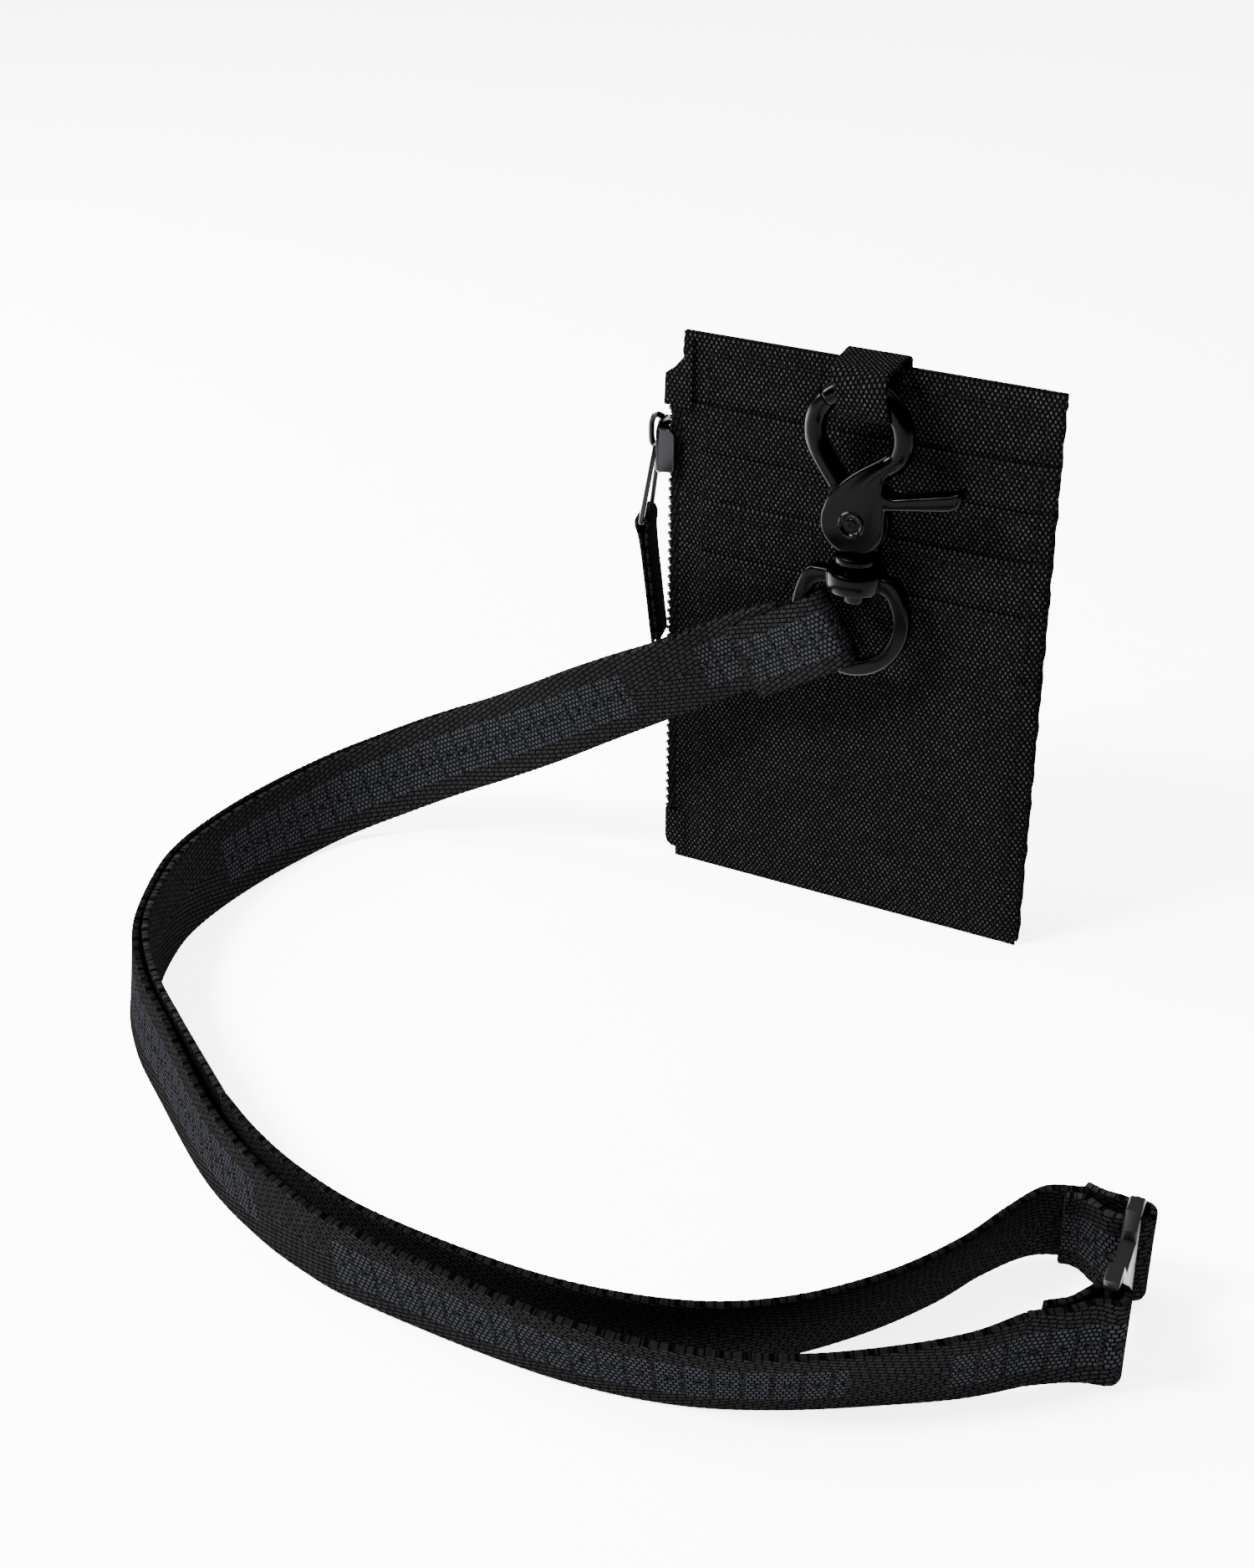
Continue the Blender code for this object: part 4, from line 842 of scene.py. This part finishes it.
makeStrip("fabricLoop", loopLine, [Vector((1, 0, 0))] * len(loopLine), [p[3] for p in loopRows],
          pouch["loopThick"], [oxford], "pouch", ("fabric_loop",), 10)
print("loop made")

# zip

zipper = {"chainX": -53.4, "low": 13.2, "high": 129.4, "pitch": 2.4, "tooth": 0.62,
          "plateX": (-56.2, -55.2), "pivot": Vector((-57.25, -0.7, 117.45)),
          "ringLow": Vector((-60.3, -0.7, 97.0)), "wire": 1.3, "pullTurn": 14,
          "tapeWidth": 5.8, "tapeThick": 0.4, "pullWidth": 10.2, "pullThick": 0.9}
bm = bmesh.new()
z = zipper["low"] + 0.9
while z < zipper["high"] - 0.6:
    for y0, y1, shift in ((-2.1, -0.5, 0.0), (0.7, -0.9, zipper["pitch"] / 2)):
        if z + shift < zipper["high"] - 0.7:
            a = Vector((zipper["chainX"] + 0.1, y0, z + shift + 0.55))
            b = Vector((zipper["chainX"] - 0.25, y1, z + shift - 0.35))
            addStitch(bm, a, b, zipper["tooth"])
    z += zipper["pitch"]
finishMesh("zipTeeth", bm, [coilTeeth], "pouch", ("zip_chain",), sharp=0)

for name, node, y, turnIn in (("zipTapeFront", "zip_tape_front", -1.15, 0.3),
                              ("zipTapeBack", "zip_tape_back", 0.05, -0.25)):
    count = 76
    places = [Vector((-50.1, y, 12.5 + (130.5 - 12.5) * i / (count - 1))) for i in range(count)]
    makeStrip(name, places, [Vector((math.cos(turnIn), math.sin(turnIn), 0))] * count,
              [zipper["tapeWidth"]] * count, zipper["tapeThick"], [zipTape], "pouch", (node,), 6, soften=0.12)


def softBlock(name, outline, depth, rounding, mat, body, node):
    bm = bmesh.new()
    pushThrough(bm, outline, upright, depth, rounding, 3)
    bmesh.ops.triangulate(bm, faces=[f for f in bm.faces if len(f.verts) > 4])
    uv = bm.loops.layers.uv.new("weave")
    for f in bm.faces:
        for loop in f.loops:
            loop[uv].uv = (loop.vert.co.x + loop.vert.co.y * 0.7, loop.vert.co.z)
    return finishMesh(name, bm, [mat], body, (node,), sharp=50)


softBlock("zipTopCover", [(-47.3, 145.5), (-47.5, 144.2), (-49.6, 141.0), (-52.0, 138.1), (-54.6, 136.2),
          (-54.9, 128.0), (-47.3, 128.0)], (-2.3, 1.2), 0.8, oxford, "pouch", "zip_top_cover")
softBlock("zipBottomTab", [(-47.3, 2.5), (-51.6, 2.5), (-53.0, 3.6), (-53.5, 5.4), (-53.5, 13.8),
                           (-47.3, 13.8)],
          (-2.9, 1.5), 0.7, oxford, "pouch", "zip_bottom_tab")

bm = bmesh.new()
plate = [(-4.3, 111.0), (-3.3, 110.0), (1.9, 110.0), (2.9, 111.0), (2.9, 121.5), (1.2, 124.0), (-2.6, 124.0),
         (-4.3, 121.5)]
pushThrough(bm, plate, lambda a, b, d: Vector((d, a, b)), zipper["plateX"], 0.35, 3)
for y0, y1 in ((-4.3, -3.2), (1.8, 2.9)):
    pushThrough(bm, [(-55.4, 110.6), (-51.4, 111.0), (-51.0, 112.0), (-51.0, 121.0), (-51.6, 122.0),
                     (-55.4, 122.4)],
                upright, (y0, y1), 0.3, 3)
bail = [Vector((a, -0.7, b)) for a, b in ((-55.9, 124.0), (-57.2, 124.4), (-58.4, 123.8), (-59.0, 122.3),
        (-59.1, 120.4), (-59.1, 118.4), (-58.9, 116.9), (-58.2, 115.9), (-57.0, 115.7), (-55.9, 115.8))]
wireTube(bm, bail, 0.75, Vector((0, 1, 0)), 14, flat=1.25)
bmesh.ops.recalc_face_normals(bm, faces=bm.faces)
finishMesh("zipSlider", bm, [gunmetal], "slider", ("zip_slider",))

p, q = zipper["pivot"], zipper["ringLow"]
pullTurn = Matrix.Translation(p) @ Matrix.Rotation(math.radians(zipper["pullTurn"]), 4, "Z")
pullTurn = pullTurn @ Matrix.Translation(-p)
straight = []
corners = [Vector(c) for c in ((p.x, 1.9, p.z), (q.x, 5.2, q.z), (q.x, -6.6, q.z), (p.x, -3.3, p.z))]
for i, corner in enumerate(corners):
    back, ahead = (corners[i - 1] - corner).normalized(), (corners[(i + 1) % 4] - corner).normalized()
    for k in range(7):
        f = k / 6
        a, b = corner + back * 1.1, corner + ahead * 1.1
        straight.append(a * (1 - f) ** 2 + corner * 2 * f * (1 - f) + b * f * f)
bm = bmesh.new()
wireTube(bm, straight, zipper["wire"] / 2, (p - q).cross(across).normalized(), 12, closed=True)
bmesh.ops.transform(bm, matrix=pullTurn, verts=bm.verts)
bmesh.ops.recalc_face_normals(bm, faces=bm.faces)
finishMesh("pullRing", bm, [gunmetal], "pull", ("pull_ring",), sharp=60)

down = Vector((-56.6 - q.x, 0, 64.0 - q.z)).normalized()
outWay = Vector((down.z, 0, -down.x))
tapeLine = [Vector(r[:3]) for r in smoothRoute([tuple(q + down * a + outWay * b) for a, b in (
    (33.4, 0.65), (20.0, 0.65), (9.0, 0.7), (4.0, 0.9), (1.5, 1.35), (0.0, 1.45), (-1.05, 1.05),
    (-1.5, 0.0), (-1.05, -1.05), (0.0, -1.45), (1.5, -1.35), (4.0, -0.9), (9.0, -0.7), (20.0, -0.65),
    (33.4, -0.65))],
    0.8)]
tapeLine = [pullTurn @ point for point in tapeLine]
makeStrip("pullTape", tapeLine, [pullTurn.to_3x3() @ across] * len(tapeLine),
          [zipper["pullWidth"]] * len(tapeLine), zipper["pullThick"], [zipTape], "pull_strip",
          ("pull_tape",), 8, soften=0.3)
print("zip made")

# floor and light

floor = {"size": 6.0, "colour": "#f6f6f6", "shade": "#f1f1f1", "glow": 4.8}
bm = bmesh.new()
bmesh.ops.create_grid(bm, x_segments=1, y_segments=1, size=floor["size"] * 1000 / 2)
floorMat, tree, shader = newMaterial("paperSweep", Roughness=0.9)
shader.inputs["Specular IOR Level"].default_value = 0.0
# matt paper: a very faint mottle keeps the sweep from looking painted
where = addNode(tree, "TexCoord")
grain = addNode(tree, "TexNoise", {"Vector": where.outputs["Object"], "Scale": 60.0, "Detail": 3.0})
paper = addNode(tree, "MixRGB", {"Fac": grain.outputs["Fac"], "Color1": linear(floor["shade"]),
                "Color2": linear(floor["colour"])})
tree.links.new(paper.outputs["Color"], shader.inputs["Base Color"])
shader.inputs["Emission Color"].default_value = linear("#ffffff")
shader.inputs["Emission Strength"].default_value = floor["glow"]
floorOb = finishMesh("paperFloor", bm, [floorMat], None, sharp=0)
floorOb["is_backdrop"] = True

world = bpy.data.worlds.new("studio")
scene.world = world
world.use_nodes = True
world.node_tree.nodes["Background"].inputs["Color"].default_value = linear("#ffffff")
world.node_tree.nodes["Background"].inputs["Strength"].default_value = 0.35


def softLamp(name, place, target, size, power):
    data = bpy.data.lights.new(name, "AREA")
    data.shape = "RECTANGLE"
    data.size, data.size_y = size
    data.energy = power
    ob = bpy.data.objects.new(name, data)
    ob.location = place
    ob.rotation_euler = (Vector(target) - Vector(place)).to_track_quat("-Z", "Y").to_euler()
    scene.collection.objects.link(ob)


softLamp("keySoftbox", (-0.55, -0.70, 1.0), (0, -0.08, 0.05), (0.30, 0.30), 95)
softLamp("leftStrip", (-0.95, -0.15, 0.70), (0, -0.02, 0.1), (0.25, 0.8), 55)
softLamp("overheadSoftbox", (0.1, 0.1, 1.5), (0, -0.08, 0.0), (1.2, 1.2), 34)
print("stage lit")

low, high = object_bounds()
